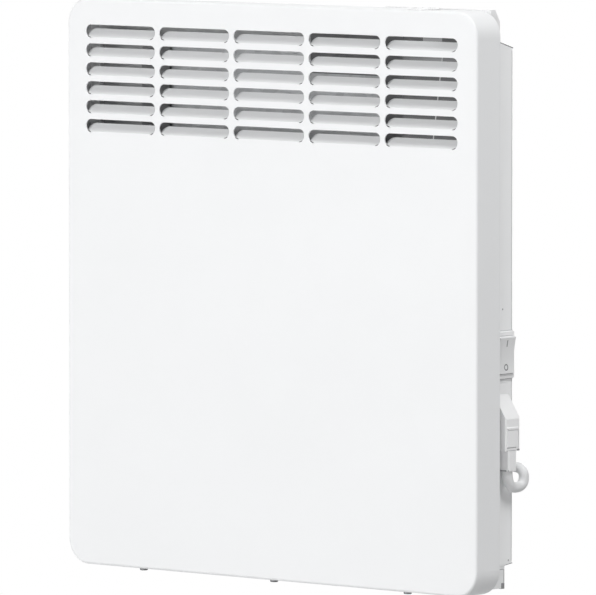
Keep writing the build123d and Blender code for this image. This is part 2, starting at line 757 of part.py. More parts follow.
tie_wall = 0.9
tie_gap = 0.25
tie_height = 5.0
strap_z = coil_z - 6.0
left_turns = [coil_point(math.pi / 2 + 2 * math.pi * turn) for turn in range(4)]
tie_low_x = min(point.X for point in left_turns) - cord_diameter / 2 - tie_gap
tie_high_x = max(point.X for point in left_turns) + cord_diameter / 2 + tie_gap + 0.6
tie_low_y = cord_back_y - cord_diameter / 2 - tie_gap
tie_high_y = cord_back_y + coil_pitch + cord_diameter / 2 + tie_gap
with BuildPart() as coil_tie:
    with BuildSketch(Plane.XY.offset(strap_z)):
        with Locations(((tie_low_x + tie_high_x) / 2, (tie_low_y + tie_high_y) / 2)):
            RectangleRounded(
                tie_high_x - tie_low_x + 2 * tie_wall, tie_high_y - tie_low_y + 2 * tie_wall, 3.0
            )
            RectangleRounded(tie_high_x - tie_low_x, tie_high_y - tie_low_y, 2.2, mode=Mode.SUBTRACT)
    extrude(amount=tie_height)
coil_tie.part.label = "coil_tie"
export_step(coil_tie.part, "parts/coil_tie.step")

# ---------------------------------------------------------------- wall bracket
crossbar_z = [120.0, -110.0]
crossbar_height = 30.0
shelf_drop = 11.5           # casing's top to the bracket's shelf
tab_rise = 9.5
rail_end_rise = 34.0
rail_top = casing_top_rear - shelf_drop
rail_low = casing_bottom_rear + rail_end_rise
tab_width = 24.0
tab_top = casing_top_rear + tab_rise
tab_front = casing_rear_y + 0.5
catch_drop = 5.5
catch_low = casing_top_rear - catch_drop
nose_rise = 3.0
nose_low = casing_top_rear + nose_rise
guide_width = 5.0
guide_height = 4.0
guide_middle = catch_low + (guide_height + catch_travel) / 2
hook_depth = 4.0
hook_rise = 8.0

with BuildPart() as wall_bracket:
    with BuildSketch(facing(0)):
        for side in (-1, 1):
            with Locations((side * rail_x, (rail_top + rail_low) / 2)):
                Rectangle(rail_width, rail_top - rail_low)
        for bar_z in crossbar_z:
            with Locations((0, bar_z)):
                Rectangle(2 * rail_x, crossbar_height)
        with GridLocations(2 * rail_x, 2 * wall_hole_z, 2, 2):
            Circle(wall_hole_radius, mode=Mode.SUBTRACT)
    extrude(amount=bracket_sheet)
    with BuildSketch(facing(0)):
        for side in (-1, 1):
            for edge in (-1, 1):
                rib_x = side * rail_x + edge * (rail_width - bracket_sheet) / 2
                with Locations((rib_x, (rail_top + rail_low) / 2)):
                    Rectangle(bracket_sheet, rail_top - rail_low)
    extrude(amount=wall_gap)
    with BuildSketch(Plane.XY.offset(rail_top - bracket_sheet)):
        for side in (-1, 1):
            with Locations((side * rail_x, tab_front / 2)):
                Rectangle(tab_width, -tab_front)
    extrude(amount=bracket_sheet)
    with BuildSketch(facing(tab_front + bracket_sheet)):
        for side in (-1, 1):
            with Locations((side * rail_x, (tab_top + rail_top - bracket_sheet) / 2)):
                Rectangle(tab_width, tab_top - rail_top + bracket_sheet)
    extrude(amount=bracket_sheet)
    with BuildSketch(facing(tab_front + 2 * bracket_sheet)):
        with Locations((-rail_x, guide_middle), (rail_x, guide_middle)):
            Rectangle(guide_width + 2 * seat, guide_height + catch_travel + 2 * seat)
    extrude(amount=3 * bracket_sheet, mode=Mode.SUBTRACT)
    for side in (-1, 1):
        with BuildSketch(Plane.YZ.offset(side * rail_x)):
            with BuildLine():
                Polyline(
                    (0, hook_z - 6),
                    (0, hook_z),
                    (casing_rear_y - sheet - 0.4, hook_z),
                    (casing_rear_y - sheet - 0.4, hook_z + hook_rise),
                    (casing_rear_y - hook_depth, hook_z + hook_rise - 1.5),
                    (casing_rear_y - hook_depth, hook_z - 6),
                    close=True,
                )
            make_face()
        extrude(amount=hook_width / 2, both=True)
wall_bracket.part.label = "wall_bracket"
export_step(wall_bracket.part, "parts/wall_bracket.step")

# ---------------------------------------------------------------- locking catches on the bracket's tabs
catch_width = 18.0
catch_wall = 2.5
nose_thick = 3.0
catch_back = tab_front + bracket_sheet + seat
catch_nose = casing_rear_y - sheet - 0.4
catch_top = tab_top + 4.0
# back plate, bridge over the tab, nose before the upstand
catch_outline = [
    (catch_back, catch_low),
    (catch_back + catch_wall, catch_low),
    (catch_back + catch_wall, catch_top),
    (catch_nose - nose_thick, catch_top),
    (catch_nose - nose_thick, nose_low + 1.0),
    (catch_nose, nose_low),
    (catch_nose, tab_top + seat),
    (catch_back, tab_top + seat),
]

with BuildPart() as locking_catch_right:
    with BuildSketch(Plane.YZ.offset(rail_x)):
        with BuildLine():
            Polyline(*catch_outline, close=True)
        make_face()
    extrude(amount=catch_width / 2, both=True)
    with BuildSketch(facing(catch_back)):
        with Locations((rail_x, catch_low + guide_height / 2)):
            Rectangle(guide_width, guide_height)
    extrude(amount=catch_back - tab_front)
    with BuildSketch(Plane.XY.offset(catch_top)):
        with Locations((rail_x, catch_back - 2)):
            with GridLocations(1, 2.4, 1, 3):
                Rectangle(catch_width - 4, 1.0)
    extrude(amount=0.8)
locking_catch_right.part.label = "locking_catch_right"
export_step(locking_catch_right.part, "parts/locking_catch_right.step")

with BuildPart() as locking_catch_left:
    with BuildSketch(Plane.YZ.offset(-rail_x)):
        with BuildLine():
            Polyline(*catch_outline, close=True)
        make_face()
    extrude(amount=catch_width / 2, both=True)
    with BuildSketch(facing(catch_back)):
        with Locations((-rail_x, catch_low + guide_height / 2)):
            Rectangle(guide_width, guide_height)
    extrude(amount=catch_back - tab_front)
    with BuildSketch(Plane.XY.offset(catch_top)):
        with Locations((-rail_x, catch_back - 2)):
            with GridLocations(1, 2.4, 1, 3):
                Rectangle(catch_width - 4, 1.0)
    extrude(amount=0.8)
locking_catch_left.part.label = "locking_catch_left"
export_step(locking_catch_left.part, "parts/locking_catch_left.step")

# ---------------------------------------------------------------- wall buffers
buffer_inset = 32.5
buffer_rise = 17.0
buffer_radius = 7.0
buffer_x = casing_x - buffer_inset
buffer_z = casing_bottom_rear + buffer_rise
with BuildPart() as wall_buffers:
    with BuildSketch(facing(0)):
        with Locations((-buffer_x, buffer_z), (buffer_x, buffer_z)):
            Circle(buffer_radius)
    extrude(amount=wall_gap)
wall_buffers.part.label = "wall_buffers"
export_step(wall_buffers.part, "parts/wall_buffers.step")

# ---------------------------------------------------------------- heating element
fin_arms = [50.0, 130.0, 230.0, 310.0]
fin_arm_length = 26.0
fin_thick = 2.0
rib_thick = 1.6
rib_places = [12.0, 18.0, fin_arm_length - rib_thick]
rib_widths = [6.0, 9.0, 12.0]
tube_wall = 3.5
with BuildPart() as heating_element:
    with BuildSketch(Plane.YZ.offset(element_x - element_length / 2)):
        with Locations((element_y, element_z)):
            Circle(rod_radius + tube_wall)
            for arm in fin_arms:
                with Locations(Location((0, 0, 0), (0, 0, 1), arm)):
                    with Locations((fin_arm_length / 2, 0)):
                        Rectangle(fin_arm_length, fin_thick)
                    for place, wide in zip(rib_places, rib_widths):
                        with Locations((place, 0)):
                            Rectangle(rib_thick, wide)
            Circle(rod_radius + running, mode=Mode.SUBTRACT)
    extrude(amount=element_length)
heating_element.part.label = "heating_element"
export_step(heating_element.part, "parts/heating_element.step")

rod_overhang = 13.0
rod_start = element_x - element_length / 2 - rod_overhang
rod_length = element_length + 2 * rod_overhang
pin_length = 7.0
with BuildPart() as element_rod:
    with BuildSketch(Plane.YZ.offset(rod_start)):
        with Locations((element_y, element_z)):
            Circle(rod_radius)
    extrude(amount=rod_length)
    with BuildSketch(Plane.YZ.offset(rod_start - pin_length)):
        with Locations((element_y, element_z)):
            Circle(1.5)
    extrude(amount=rod_length + 2 * pin_length)
element_rod.part.label = "element_rod"
export_step(element_rod.part, "parts/element_rod.step")

foot_sheet = 1.5
foot_height = 50.0
foot_depth = 15.0
bush_radius = 6.5
inner_back_y = casing_rear_y - sheet
with BuildPart() as element_brackets:
    for bracket_x, way in zip(element_feet_x, (1, -1)):
        with BuildSketch(Plane.YZ.offset(bracket_x - foot_sheet / 2)):
            with Locations(((inner_back_y + element_y - 10) / 2, element_z)):
                Rectangle(inner_back_y - element_y + 10, foot_height)
            with Locations((element_y, element_z)):
                Circle(bush_radius + 0.02, mode=Mode.SUBTRACT)
        extrude(amount=foot_sheet)
        with BuildSketch(facing(inner_back_y)):
            with Locations((bracket_x - way * foot_depth / 2, element_z)):
                Rectangle(foot_depth, foot_height)
            with Locations((bracket_x - way * 9, element_z - 15), (bracket_x - way * 9, element_z + 15)):
                Circle(screw_radius + 0.2, mode=Mode.SUBTRACT)
        extrude(amount=foot_sheet)
element_brackets.part.label = "element_brackets"
export_step(element_brackets.part, "parts/element_brackets.step")

with BuildPart() as element_bushes:
    for bracket_x, way in zip(element_feet_x, (1, -1)):
        with BuildSketch(Plane.YZ.offset(bracket_x - 4)):
            with Locations((element_y, element_z)):
                Circle(bush_radius)
                Circle(rod_radius + running, mode=Mode.SUBTRACT)
        extrude(amount=8)
        with BuildSketch(Plane.YZ.offset(bracket_x - way * foot_sheet / 2)):
            with Locations((element_y, element_z)):
                Circle(bush_radius + 2.5)
                Circle(rod_radius + running, mode=Mode.SUBTRACT)
        extrude(amount=-way * 2.0)
element_bushes.part.label = "element_bushes"
export_step(element_bushes.part, "parts/element_bushes.step")

screw_spread = 15.0
with BuildPart() as bracket_screws:
    for bracket_x, way in zip(element_feet_x, (1, -1)):
        for z_off in (-screw_spread, screw_spread):
            with BuildSketch(facing(inner_back_y - foot_sheet)):
                with Locations((bracket_x - way * 9, element_z + z_off)):
                    Circle(3.6)
            extrude(amount=2.4)
            with BuildSketch(facing(inner_back_y - foot_sheet)):
                with Locations((bracket_x - way * 9, element_z + z_off)):
                    Circle(screw_radius)
            extrude(amount=-foot_sheet)
bracket_screws.part.label = "bracket_screws"
export_step(bracket_screws.part, "parts/bracket_screws.step")

# ---------------------------------------------------------------- heat shields and partition
shield_sheet = 0.8
shield_gap = 4.2            # casing's back to the rear shield
rear_shield_y = inner_back_y - shield_gap
shield_left = element_feet_x[0] + 3
shield_right = element_feet_x[1] - 3
shield_low = casing_bottom_rear + 12.0
shield_high = casing_top_rear - 7.5
shield_mid_x = (shield_left + shield_right) / 2
shield_width = shield_right - shield_left

with BuildPart() as rear_shield:
    with BuildSketch(facing(rear_shield_y)):
        with Locations((shield_mid_x, (shield_low + shield_high) / 2)):
            Rectangle(shield_width, shield_high - shield_low)
            with GridLocations(shield_width - 80, shield_high - shield_low - 60, 2, 2):
                Circle(5.0, mode=Mode.SUBTRACT)
    extrude(amount=shield_sheet)
    with BuildSketch(facing(inner_back_y)):
        with Locations((shield_mid_x, (shield_low + shield_high) / 2)):
            with GridLocations(shield_width - 80, shield_high - shield_low - 60, 2, 2):
                Circle(6.0)
    extrude(amount=shield_gap + shield_sheet)
rear_shield.part.label = "rear_shield"
export_step(rear_shield.part, "parts/rear_shield.step")

front_shield_y = front_y + 6.0
front_shield_drop = 19.5      # lowest slot to the front shield's top
front_shield_top = slot_low_z - front_shield_drop
flange_front = flange_y - sheet
left_foot_x = -casing_x + sheet - 8
with BuildPart() as front_shield:
    with BuildSketch(Plane.XY.offset(shield_low)):
        with BuildLine():
            Polyline(
                (left_foot_x, flange_front),
                (left_foot_x, flange_front - shield_sheet),
                (shield_left - shield_sheet, flange_front - shield_sheet),
                (shield_left - shield_sheet, front_shield_y - shield_sheet),
                (shield_right + 8, front_shield_y - shield_sheet),
                (shield_right + 8, flange_front - shield_sheet),
                (partition_x + 11, flange_front - shield_sheet),
                (partition_x + 11, flange_front),
                (shield_right + 8 - shield_sheet, flange_front),
                (shield_right + 8 - shield_sheet, front_shield_y),
                (shield_left, front_shield_y),
                (shield_left, flange_front),
                close=True,
            )
        make_face()
    extrude(amount=front_shield_top - shield_low)
    with BuildSketch(Plane.YZ.offset(rod_start - pin_length - 2)):
        with Locations((flange_front, element_z)):
            Rectangle(18.0, foot_height + 4)
    extrude(amount=rod_length + 2 * pin_length + 4, mode=Mode.SUBTRACT)
front_shield.part.label = "front_shield"
export_step(front_shield.part, "parts/front_shield.step")

grommet_y = -40.0
with BuildPart() as partition:
    with BuildSketch(Plane.YZ.offset(partition_x)):
        with BuildLine():
            Polyline(
                (inner_back_y, casing_top(inner_back_y) - sheet - seat),
                (flange_y, casing_top(flange_y) - sheet - seat),
                (flange_y, casing_bottom(flange_y) + sheet + seat),
                (inner_back_y, casing_bottom(inner_back_y) + sheet + seat),
                close=True,
            )
        make_face()
        with Locations((grommet_y, grommet_z)):
            Circle(6.0, mode=Mode.SUBTRACT)
    extrude(amount=sheet)
    with BuildSketch(Plane.XY.offset(shield_low)):
        with Locations((partition_x + 7, flange_y - sheet / 2)):
            Rectangle(14, sheet)
    extrude(amount=casing_top(flange_y) - sheet - seat - shield_low)
partition.part.label = "partition"
export_step(partition.part, "parts/partition.step")

baffle_sheet = 0.8
baffle_reach = 23.0         # past the partition, towards the air channel
baffle_gap = 4.0            # above the front shield
baffle_wing = 71.0
baffle_wing_height = 31.0
baffle_low = front_shield_top + baffle_gap
baffle_high = casing_top_front - sheet - seat
baffle_left = partition_x - baffle_reach
baffle_right = partition_x + 14
with BuildPart() as control_baffle:
    with BuildSketch(facing(flange_y - sheet - running)):
        with BuildLine():
            Polyline(
                (baffle_left - baffle_wing, baffle_high),
                (baffle_right, baffle_high),
                (baffle_right, baffle_low),
                (baffle_left, baffle_low),
                (baffle_left, baffle_high - baffle_wing_height),
                (baffle_left - baffle_wing, baffle_high - baffle_wing_height),
                close=True,
            )
        make_face()
    extrude(amount=baffle_sheet)
control_baffle.part.label = "control_baffle"
export_step(control_baffle.part, "parts/control_baffle.step")

with BuildPart() as partition_grommet:
    with BuildSketch(Plane.YZ.offset(partition_x - 1.5)):
        with Locations((grommet_y, grommet_z)):
            Circle(8.0)
            Circle(4.5, mode=Mode.SUBTRACT)
    extrude(amount=sheet + 3.0)
    with BuildSketch(Plane.YZ.offset(partition_x)):
        with Locations((grommet_y, grommet_z)):
            Circle(9.0)
            Circle(6.0, mode=Mode.SUBTRACT)
    extrude(amount=sheet, mode=Mode.SUBTRACT)
partition_grommet.part.label = "partition_grommet"
export_step(partition_grommet.part, "parts/partition_grommet.step")

# ---------------------------------------------------------------- control board and its parts
board_inset = 42.5
board_drop = 90.5
board_x = casing_x - board_inset
board_z = casing_top_rear - board_drop
board_width = 60.0
board_height = 80.0
board_y = -40.0
board_sheet = 1.6
post_x = board_width - 10
post_z = board_height - 10
liner_sheet = 0.8
liner_overlap = 25.0        # liner below the board

with BuildPart() as compartment_liner:
    liner_left = partition_x + sheet
    liner_right = casing_x - sheet - casing_fold / 2
    liner_low = board_z - board_height / 2 - liner_overlap
    liner_high = casing_top_rear - 2 * sheet
    with BuildSketch(Plane.XY.offset(liner_low)):
        with BuildLine():
            Polyline(
                (liner_left, flange_y + seat),
                (liner_left, inner_back_y),
                (liner_right, inner_back_y),
                (liner_right, inner_back_y - liner_sheet),
                (liner_left + liner_sheet, inner_back_y - liner_sheet),
                (liner_left + liner_sheet, flange_y + seat),
                close=True,
            )
        make_face()
    extrude(amount=liner_high - liner_low)
    with BuildSketch(facing(inner_back_y)):
        with Locations((board_x, board_z)):
            with GridLocations(post_x, post_z, 2, 2):
                Circle(3.6)
    extrude(amount=2 * liner_sheet, mode=Mode.SUBTRACT)
compartment_liner.part.label = "compartment_liner"
export_step(compartment_liner.part, "parts/compartment_liner.step")

with BuildPart() as board_posts:
    with BuildSketch(facing(inner_back_y)):
        with Locations((board_x, board_z)):
            with GridLocations(post_x, post_z, 2, 2):
                Circle(3.2)
    extrude(amount=inner_back_y - board_y)
board_posts.part.label = "board_posts"
export_step(board_posts.part, "parts/board_posts.step")

with BuildPart() as control_board:
    with BuildSketch(facing(board_y)):
        with Locations((board_x, board_z)):
            RectangleRounded(board_width, board_height, 2.0)
    extrude(amount=board_sheet)
control_board.part.label = "control_board"
export_step(control_board.part, "parts/control_board.step")

board_front = board_y - board_sheet
relay_width, relay_height, relay_depth = 28.0, 12.5, 16.0
can_radius, can_height = 6.3, 14.0
film_width, film_height, film_depth = 26.0, 11.0, 13.0
chip_width, chip_height, chip_depth = 12.0, 16.0, 4.0
with BuildPart() as power_relay:
    with BuildSketch(facing(board_front)):
        with Locations((board_x + board_width * 0.2, board_z - board_height * 0.225)):
            RectangleRounded(relay_width, relay_height, 1.0)
    extrude(amount=relay_depth)
power_relay.part.label = "power_relay"
export_step(power_relay.part, "parts/power_relay.step")

with BuildPart() as board_parts:
    with BuildSketch(facing(board_front)):
        with Locations((board_x - board_width * 0.25, board_z - board_height * 0.2)):
            Circle(can_radius)
    extrude(amount=can_height)
    with BuildSketch(facing(board_front)):
        with Locations((board_x + board_width * 0.233, board_z + board_height * 0.1)):
            RectangleRounded(film_width, film_height, 1.0)
    extrude(amount=film_depth)
    with BuildSketch(facing(board_front)):
        with Locations((board_x - board_width * 0.233, board_z + board_height * 0.125)):
            Rectangle(chip_width, chip_height)
    extrude(amount=chip_depth)
    with BuildSketch(facing(board_front)):
        with Locations((board_x, board_z + 30)):
            with GridLocations(10.0, 1, 4, 1):
                Rectangle(6.3, 0.8)
    extrude(amount=8.0)
board_parts.part.label = "board_parts"
export_step(board_parts.part, "parts/board_parts.step")

# ---------------------------------------------------------------- room sensor and its lead
sensor_inset = 61.5
sensor_x = casing_x - sensor_inset
sensor_y = -60.0
sensor_rise = 5.5
sensor_low = casing_bottom_front + sensor_rise
sensor_length = 22.0
lead_top = deck_z - unit_height
lead_low = sensor_low + sensor_length
lead_run = (lead_top - lead_low) / 6
with BuildPart() as sensor_lead:
    lead_route = [
        (knob_x, sensor_y - 2, lead_top),
        (knob_x, sensor_y - 2, lead_top - lead_run / 3),
        (sensor_x + 2, sensor_y, lead_top - lead_run),
        (sensor_x + 1, sensor_y + 1, lead_top - 2 * lead_run),
        (sensor_x + 2, sensor_y, lead_top - 3 * lead_run),
        (sensor_x + 2, sensor_y - 1, lead_top - 4 * lead_run),
        (sensor_x, sensor_y, lead_top - 5 * lead_run),
        (sensor_x, sensor_y, lead_low),
    ]
    with BuildLine() as lead_path:
        FilletPolyline(*lead_route, radius=corner_radii(lead_route, 0.3))
    with BuildSketch(Plane(origin=lead_route[0], z_dir=(0, 0, -1))):
        Circle(1.3)
    sweep(path=lead_path.line)
sensor_lead.part.label = "sensor_lead"
export_step(sensor_lead.part, "parts/sensor_lead.step")

with BuildPart() as room_sensor:
    with BuildSketch(Plane.XY.offset(sensor_low)):
        with Locations((sensor_x, sensor_y)):
            Circle(3.0)
    extrude(amount=sensor_length)
    fillet(room_sensor.edges().group_by(Axis.Z)[0], 2.0)
room_sensor.part.label = "room_sensor"
export_step(room_sensor.part, "parts/room_sensor.step")

with BuildPart() as sensor_clip:
    with BuildSketch(Plane.XY.offset(sensor_low + 6)):
        with Locations((sensor_x, sensor_y)):
            Circle(4.2)
            Circle(3.02, mode=Mode.SUBTRACT)
        with Locations((sensor_x, (sensor_y + 3.6 + flange_front) / 2)):
            Rectangle(3.0, flange_front - sensor_y - 3.6)
        with Locations((sensor_x - 6.0, flange_front - 0.6)):
            Rectangle(15.0, 1.2)
        with Locations((sensor_x, sensor_y - 4)):
            Rectangle(3.0, 4.0, mode=Mode.SUBTRACT)
    extrude(amount=8.0)
sensor_clip.part.label = "sensor_clip"
export_step(sensor_clip.part, "parts/sensor_clip.step")

# ---------------------------------------------------------------- overheat cut-out over the element
cutout_inset = 46.0
cutout_x = partition_x - cutout_inset
cutout_z = front_shield_top - 5.0
cutout_y = rear_shield_y - shield_sheet
with BuildPart() as cutout_bracket:
    with BuildSketch(facing(cutout_y)):
        with Locations((cutout_x, cutout_z)):
            RectangleRounded(34.0, 22.0, 2.0)
            with GridLocations(26.0, 1, 2, 1):
                Circle(1.6, mode=Mode.SUBTRACT)
    extrude(amount=1.2)
cutout_bracket.part.label = "cutout_bracket"
export_step(cutout_bracket.part, "parts/cutout_bracket.step")

with BuildPart() as overheat_cutout:
    with BuildSketch(facing(cutout_y - 1.2)):
        with Locations((cutout_x, cutout_z)):
            Circle(8.2)
    extrude(amount=3.0)
    with BuildSketch(facing(cutout_y - 4.2)):
        with Locations((cutout_x, cutout_z)):
            Circle(7.0)
    extrude(amount=7.0)
    with BuildSketch(facing(cutout_y - 11.2)):
        with Locations((cutout_x, cutout_z)):
            with GridLocations(9.0, 1, 2, 1):
                Rectangle(0.8, 6.3)
    extrude(amount=7.0)
overheat_cutout.part.label = "overheat_cutout"
export_step(overheat_cutout.part, "parts/overheat_cutout.step")

# ---------------------------------------------------------------- terminal block, inner lead, earth stud
block_inset = 52.5
block_x = casing_x - block_inset
block_z = -20.0
block_wide = 40.0
block_high = 22.0
block_deep = 16.0
with BuildPart() as terminal_block:
    with BuildSketch(facing(inner_back_y)):
        with Locations((block_x, block_z)):
            RectangleRounded(block_wide, block_high, 1.5)
    extrude(amount=block_deep)
    with BuildSketch(facing(inner_back_y - block_deep)):
        with Locations((block_x, block_z)):
            with GridLocations(12.0, 12.0, 3, 2):
                Circle(3.0)
    extrude(amount=-5.0, mode=Mode.SUBTRACT)
terminal_block.part.label = "terminal_block"
export_step(terminal_block.part, "parts/terminal_block.step")

with BuildPart() as terminal_screws:
    with BuildSketch(facing(inner_back_y - block_deep + 3.5)):
        with Locations((block_x, block_z)):
            with GridLocations(12.0, 12.0, 3, 2):
                Circle(2.7)
    extrude(amount=-1.5)
terminal_screws.part.label = "terminal_screws"
export_step(terminal_screws.part, "parts/terminal_screws.step")

block_seat_y = inner_back_y - block_deep / 2
inner_route = [
    (casing_x - 0.5, outlet_y, spigot_z),
    (casing_x - 34, outlet_y, spigot_z),
    (block_x + 3, (outlet_y + block_seat_y) / 2, spigot_z + 18),
    (block_x, block_seat_y, block_z - block_high / 2 - 15),
    (block_x, block_seat_y, block_z - block_high / 2),
]
with BuildPart() as inner_lead:
    with BuildLine() as inner_path:
        FilletPolyline(*inner_route, radius=corner_radii(inner_route))
    with BuildSketch(Plane(origin=inner_route[0], z_dir=(-1, 0, 0))):
        Circle(cord_diameter / 2)
    sweep(path=inner_path.line)
inner_lead.part.label = "inner_lead"
export_step(inner_lead.part, "parts/inner_lead.step")

clamp_x = casing_x - 18.5
with BuildPart() as cord_clamp:
    with BuildSketch(Plane.YZ.offset(clamp_x - 4)):
        with Locations((outlet_y, spigot_z)):
            Circle(cord_diameter / 2 + 2.0)
            Rectangle(cord_diameter + 16, 6.0)
        with Locations((outlet_y, spigot_z)):
            Circle(cord_diameter / 2 + 0.02, mode=Mode.SUBTRACT)
        with Locations(((outlet_y + cord_diameter / 2 + 8 + inner_back_y) / 2 - 2, spigot_z)):
            Rectangle(inner_back_y - outlet_y - cord_diameter / 2 - 4, 6.0)
    extrude(amount=8.0)
cord_clamp.part.label = "cord_clamp"
export_step(cord_clamp.part, "parts/cord_clamp.step")
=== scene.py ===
"""Looks of the wall panel convector heater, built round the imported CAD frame. Z is up, and the wall is at Y = 0.

Camera, cord, floor and lamps are in metres. Positions of the thin details are in millimetres, times MM.
"""
import bpy
import bmesh
import math
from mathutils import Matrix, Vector


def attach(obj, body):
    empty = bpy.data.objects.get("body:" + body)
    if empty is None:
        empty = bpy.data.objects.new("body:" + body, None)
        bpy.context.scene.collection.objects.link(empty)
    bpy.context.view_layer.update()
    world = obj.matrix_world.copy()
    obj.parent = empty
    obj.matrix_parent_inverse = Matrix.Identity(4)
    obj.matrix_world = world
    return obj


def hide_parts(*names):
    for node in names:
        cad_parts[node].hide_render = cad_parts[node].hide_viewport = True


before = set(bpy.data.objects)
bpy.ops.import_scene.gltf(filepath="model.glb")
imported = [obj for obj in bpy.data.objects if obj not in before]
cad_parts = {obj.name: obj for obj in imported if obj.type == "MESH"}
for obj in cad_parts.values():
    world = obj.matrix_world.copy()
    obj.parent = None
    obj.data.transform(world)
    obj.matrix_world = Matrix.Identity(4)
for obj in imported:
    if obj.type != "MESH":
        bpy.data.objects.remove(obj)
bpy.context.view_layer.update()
scene = bpy.context.scene
scene.view_settings.view_transform = "Standard"
MM = 0.001


# ------------------------------------------------------------------ camera at the photograph's place
CAMERA_AT = (4.8303, -5.56444, 0.5294)
CAMERA_TILT, CAMERA_YAW = 4.1696, 41.1918           # degrees
FOCAL_PX, PICTURE_PX = 9388.87, 596                 # focal length and picture width, both in pixels
SENSOR = 36.0                                       # millimetres

cam_data = bpy.data.cameras.new("photo_camera")
cam = bpy.data.objects.new("photo_camera", cam_data)
scene.collection.objects.link(cam)
cam.location = CAMERA_AT
cam.rotation_euler = (math.radians(90 - CAMERA_TILT), 0, math.radians(CAMERA_YAW))
cam_data.sensor_width = SENSOR
cam_data.lens = FOCAL_PX / PICTURE_PX * SENSOR
cam_data.clip_start, cam_data.clip_end = 0.05, 60
scene.camera = cam


# ------------------------------------------------------------------ materials
class Mat:
    """A node material with a Principled shader and small helpers."""

    def __init__(self, name, color, rough=0.5, metal=0.0, spec=0.5):
        self.m = bpy.data.materials.new(name)
        self.m.use_nodes = True
        self.t = self.m.node_tree
        self.n = self.t.nodes
        self.b = self.n["Principled BSDF"]
        self.b.inputs["Base Color"].default_value = (*color, 1)
        self.b.inputs["Roughness"].default_value = rough
        self.b.inputs["Metallic"].default_value = metal
        self.b.inputs["Specular IOR Level"].default_value = spec
        self.m.diffuse_color = (*color, 1)

    def link(self, a, b):
        self.t.links.new(a, b)

    def coords(self, scale=(1, 1, 1)):
        c = self.n.new("ShaderNodeTexCoord")
        m = self.n.new("ShaderNodeMapping")
        m.inputs["Scale"].default_value = scale
        self.link(c.outputs["Object"], m.inputs["Vector"])
        return m.outputs["Vector"]

    def noise(self, vector, scale, detail=3.0, rough=0.5):
        x = self.n.new("ShaderNodeTexNoise")
        x.inputs["Scale"].default_value = scale
        x.inputs["Detail"].default_value = detail
        x.inputs["Roughness"].default_value = rough
        self.link(vector, x.inputs["Vector"])
        return x.outputs["Fac"]

    def voronoi(self, vector, scale):
        x = self.n.new("ShaderNodeTexVoronoi")
        x.inputs["Scale"].default_value = scale
        self.link(vector, x.inputs["Vector"])
        return x

    def ramp(self, fac, stops):
        """Colour between stops, each a place from 0 to 1 and a colour."""
        r = self.n.new("ShaderNodeValToRGB")
        e = r.color_ramp.elements
        while len(e) < len(stops):
            e.new(0.5)
        for el, (pos, col) in zip(e, stops):
            el.position = pos
            el.color = (*col, 1)
        self.link(fac, r.inputs["Fac"])
        return r.outputs["Color"]

    def color(self, socket):
        self.link(socket, self.b.inputs["Base Color"])

    def rough(self, fac, low, high):
        r = self.n.new("ShaderNodeMapRange")
        r.inputs["To Min"].default_value = low
        r.inputs["To Max"].default_value = high
        self.link(fac, r.inputs["Value"])
        self.link(r.outputs["Result"], self.b.inputs["Roughness"])

    def bump(self, height, strength, distance, normal=None):
        b = self.n.new("ShaderNodeBump")
        b.inputs["Strength"].default_value = strength
        b.inputs["Distance"].default_value = distance
        self.link(height, b.inputs["Height"])
        if normal is not None:
            self.link(normal, b.inputs["Normal"])
        self.link(b.outputs["Normal"], self.b.inputs["Normal"])
        return b.outputs["Normal"]


def shade(c, k):
    return tuple(min(1.0, v * k) for v in c)


def powder(name, color, rough=0.42, grain=1.0):
    """Powder coat: fine orange peel, slight tone and gloss drift."""
    m = Mat(name, color, rough)
    v = m.coords()
    broad = m.noise(v, 9.0, 2.0)
    m.color(m.ramp(broad, [(0.3, shade(color, 0.992)), (0.7, shade(color, 1.006))]))
    peel = m.noise(v, 900.0, 2.0)
    fine = m.noise(v, 3200.0, 1.0)
    m.rough(m.noise(v, 45.0, 3.0), rough - 0.04, rough + 0.06)
    first = m.bump(peel, 0.10 * grain, 0.0002)
    m.bump(fine, 0.06 * grain, 0.00008, first)
    return m.m


def plastic(name, color, rough=0.45, grain=1.0):
    """Moulded plastic with a fine spark-eroded grain."""
    m = Mat(name, color, rough)
    v = m.coords()
    m.color(m.ramp(m.noise(v, 14.0, 2.0), [(0.3, shade(color, 0.985)), (0.7, shade(color, 1.01))]))
    m.rough(m.noise(v, 160.0, 2.0), rough - 0.05, rough + 0.07)
    cells = m.voronoi(v, 2400.0)
    m.bump(cells.outputs["Distance"], 0.10 * grain, 0.00012)
    return m.m


def steel(name, color, rough=0.34):
    """Zinc-plated sheet with a faint spangle and rolling marks."""
    m = Mat(name, color, rough, metal=1.0)
    v = m.coords()
    spangle = m.voronoi(v, 130.0)
    m.color(m.ramp(spangle.outputs["Color"], [(0.2, shade(color, 0.90)), (0.8, shade(color, 1.05))]))
    rolled = m.noise(m.coords((40, 40, 1400)), 1.0, 2.0)
    m.rough(rolled, rough - 0.06, rough + 0.10)
    m.bump(rolled, 0.08, 0.00005)
    return m.m


def sheath(name, color, rough=0.5):
    """Soft cable sheath or rubber: matt, with a slight lay and dust."""
    m = Mat(name, color, rough)
    v = m.coords()
    m.color(m.ramp(m.noise(v, 60.0, 3.0), [(0.25, shade(color, 0.95)), (0.75, shade(color, 1.02))]))
    m.rough(m.noise(v, 300.0, 2.0), rough - 0.05, rough + 0.10)
    m.bump(m.noise(v, 700.0, 2.0), 0.12, 0.0001)
    return m.m


def extruded(name, color, dull, bright):
    """Extruded aluminium, whose die lines run along X."""
    m = Mat(name, color, 0.32, metal=1.0)
    lines = m.noise(m.coords((6, 900, 900)), 1.0, 3.0)
    m.color(m.ramp(lines, [(0.3, dull), (0.7, bright)]))
    m.rough(lines, 0.26, 0.42)
    m.bump(lines, 0.15, 0.00006)
    return m.m


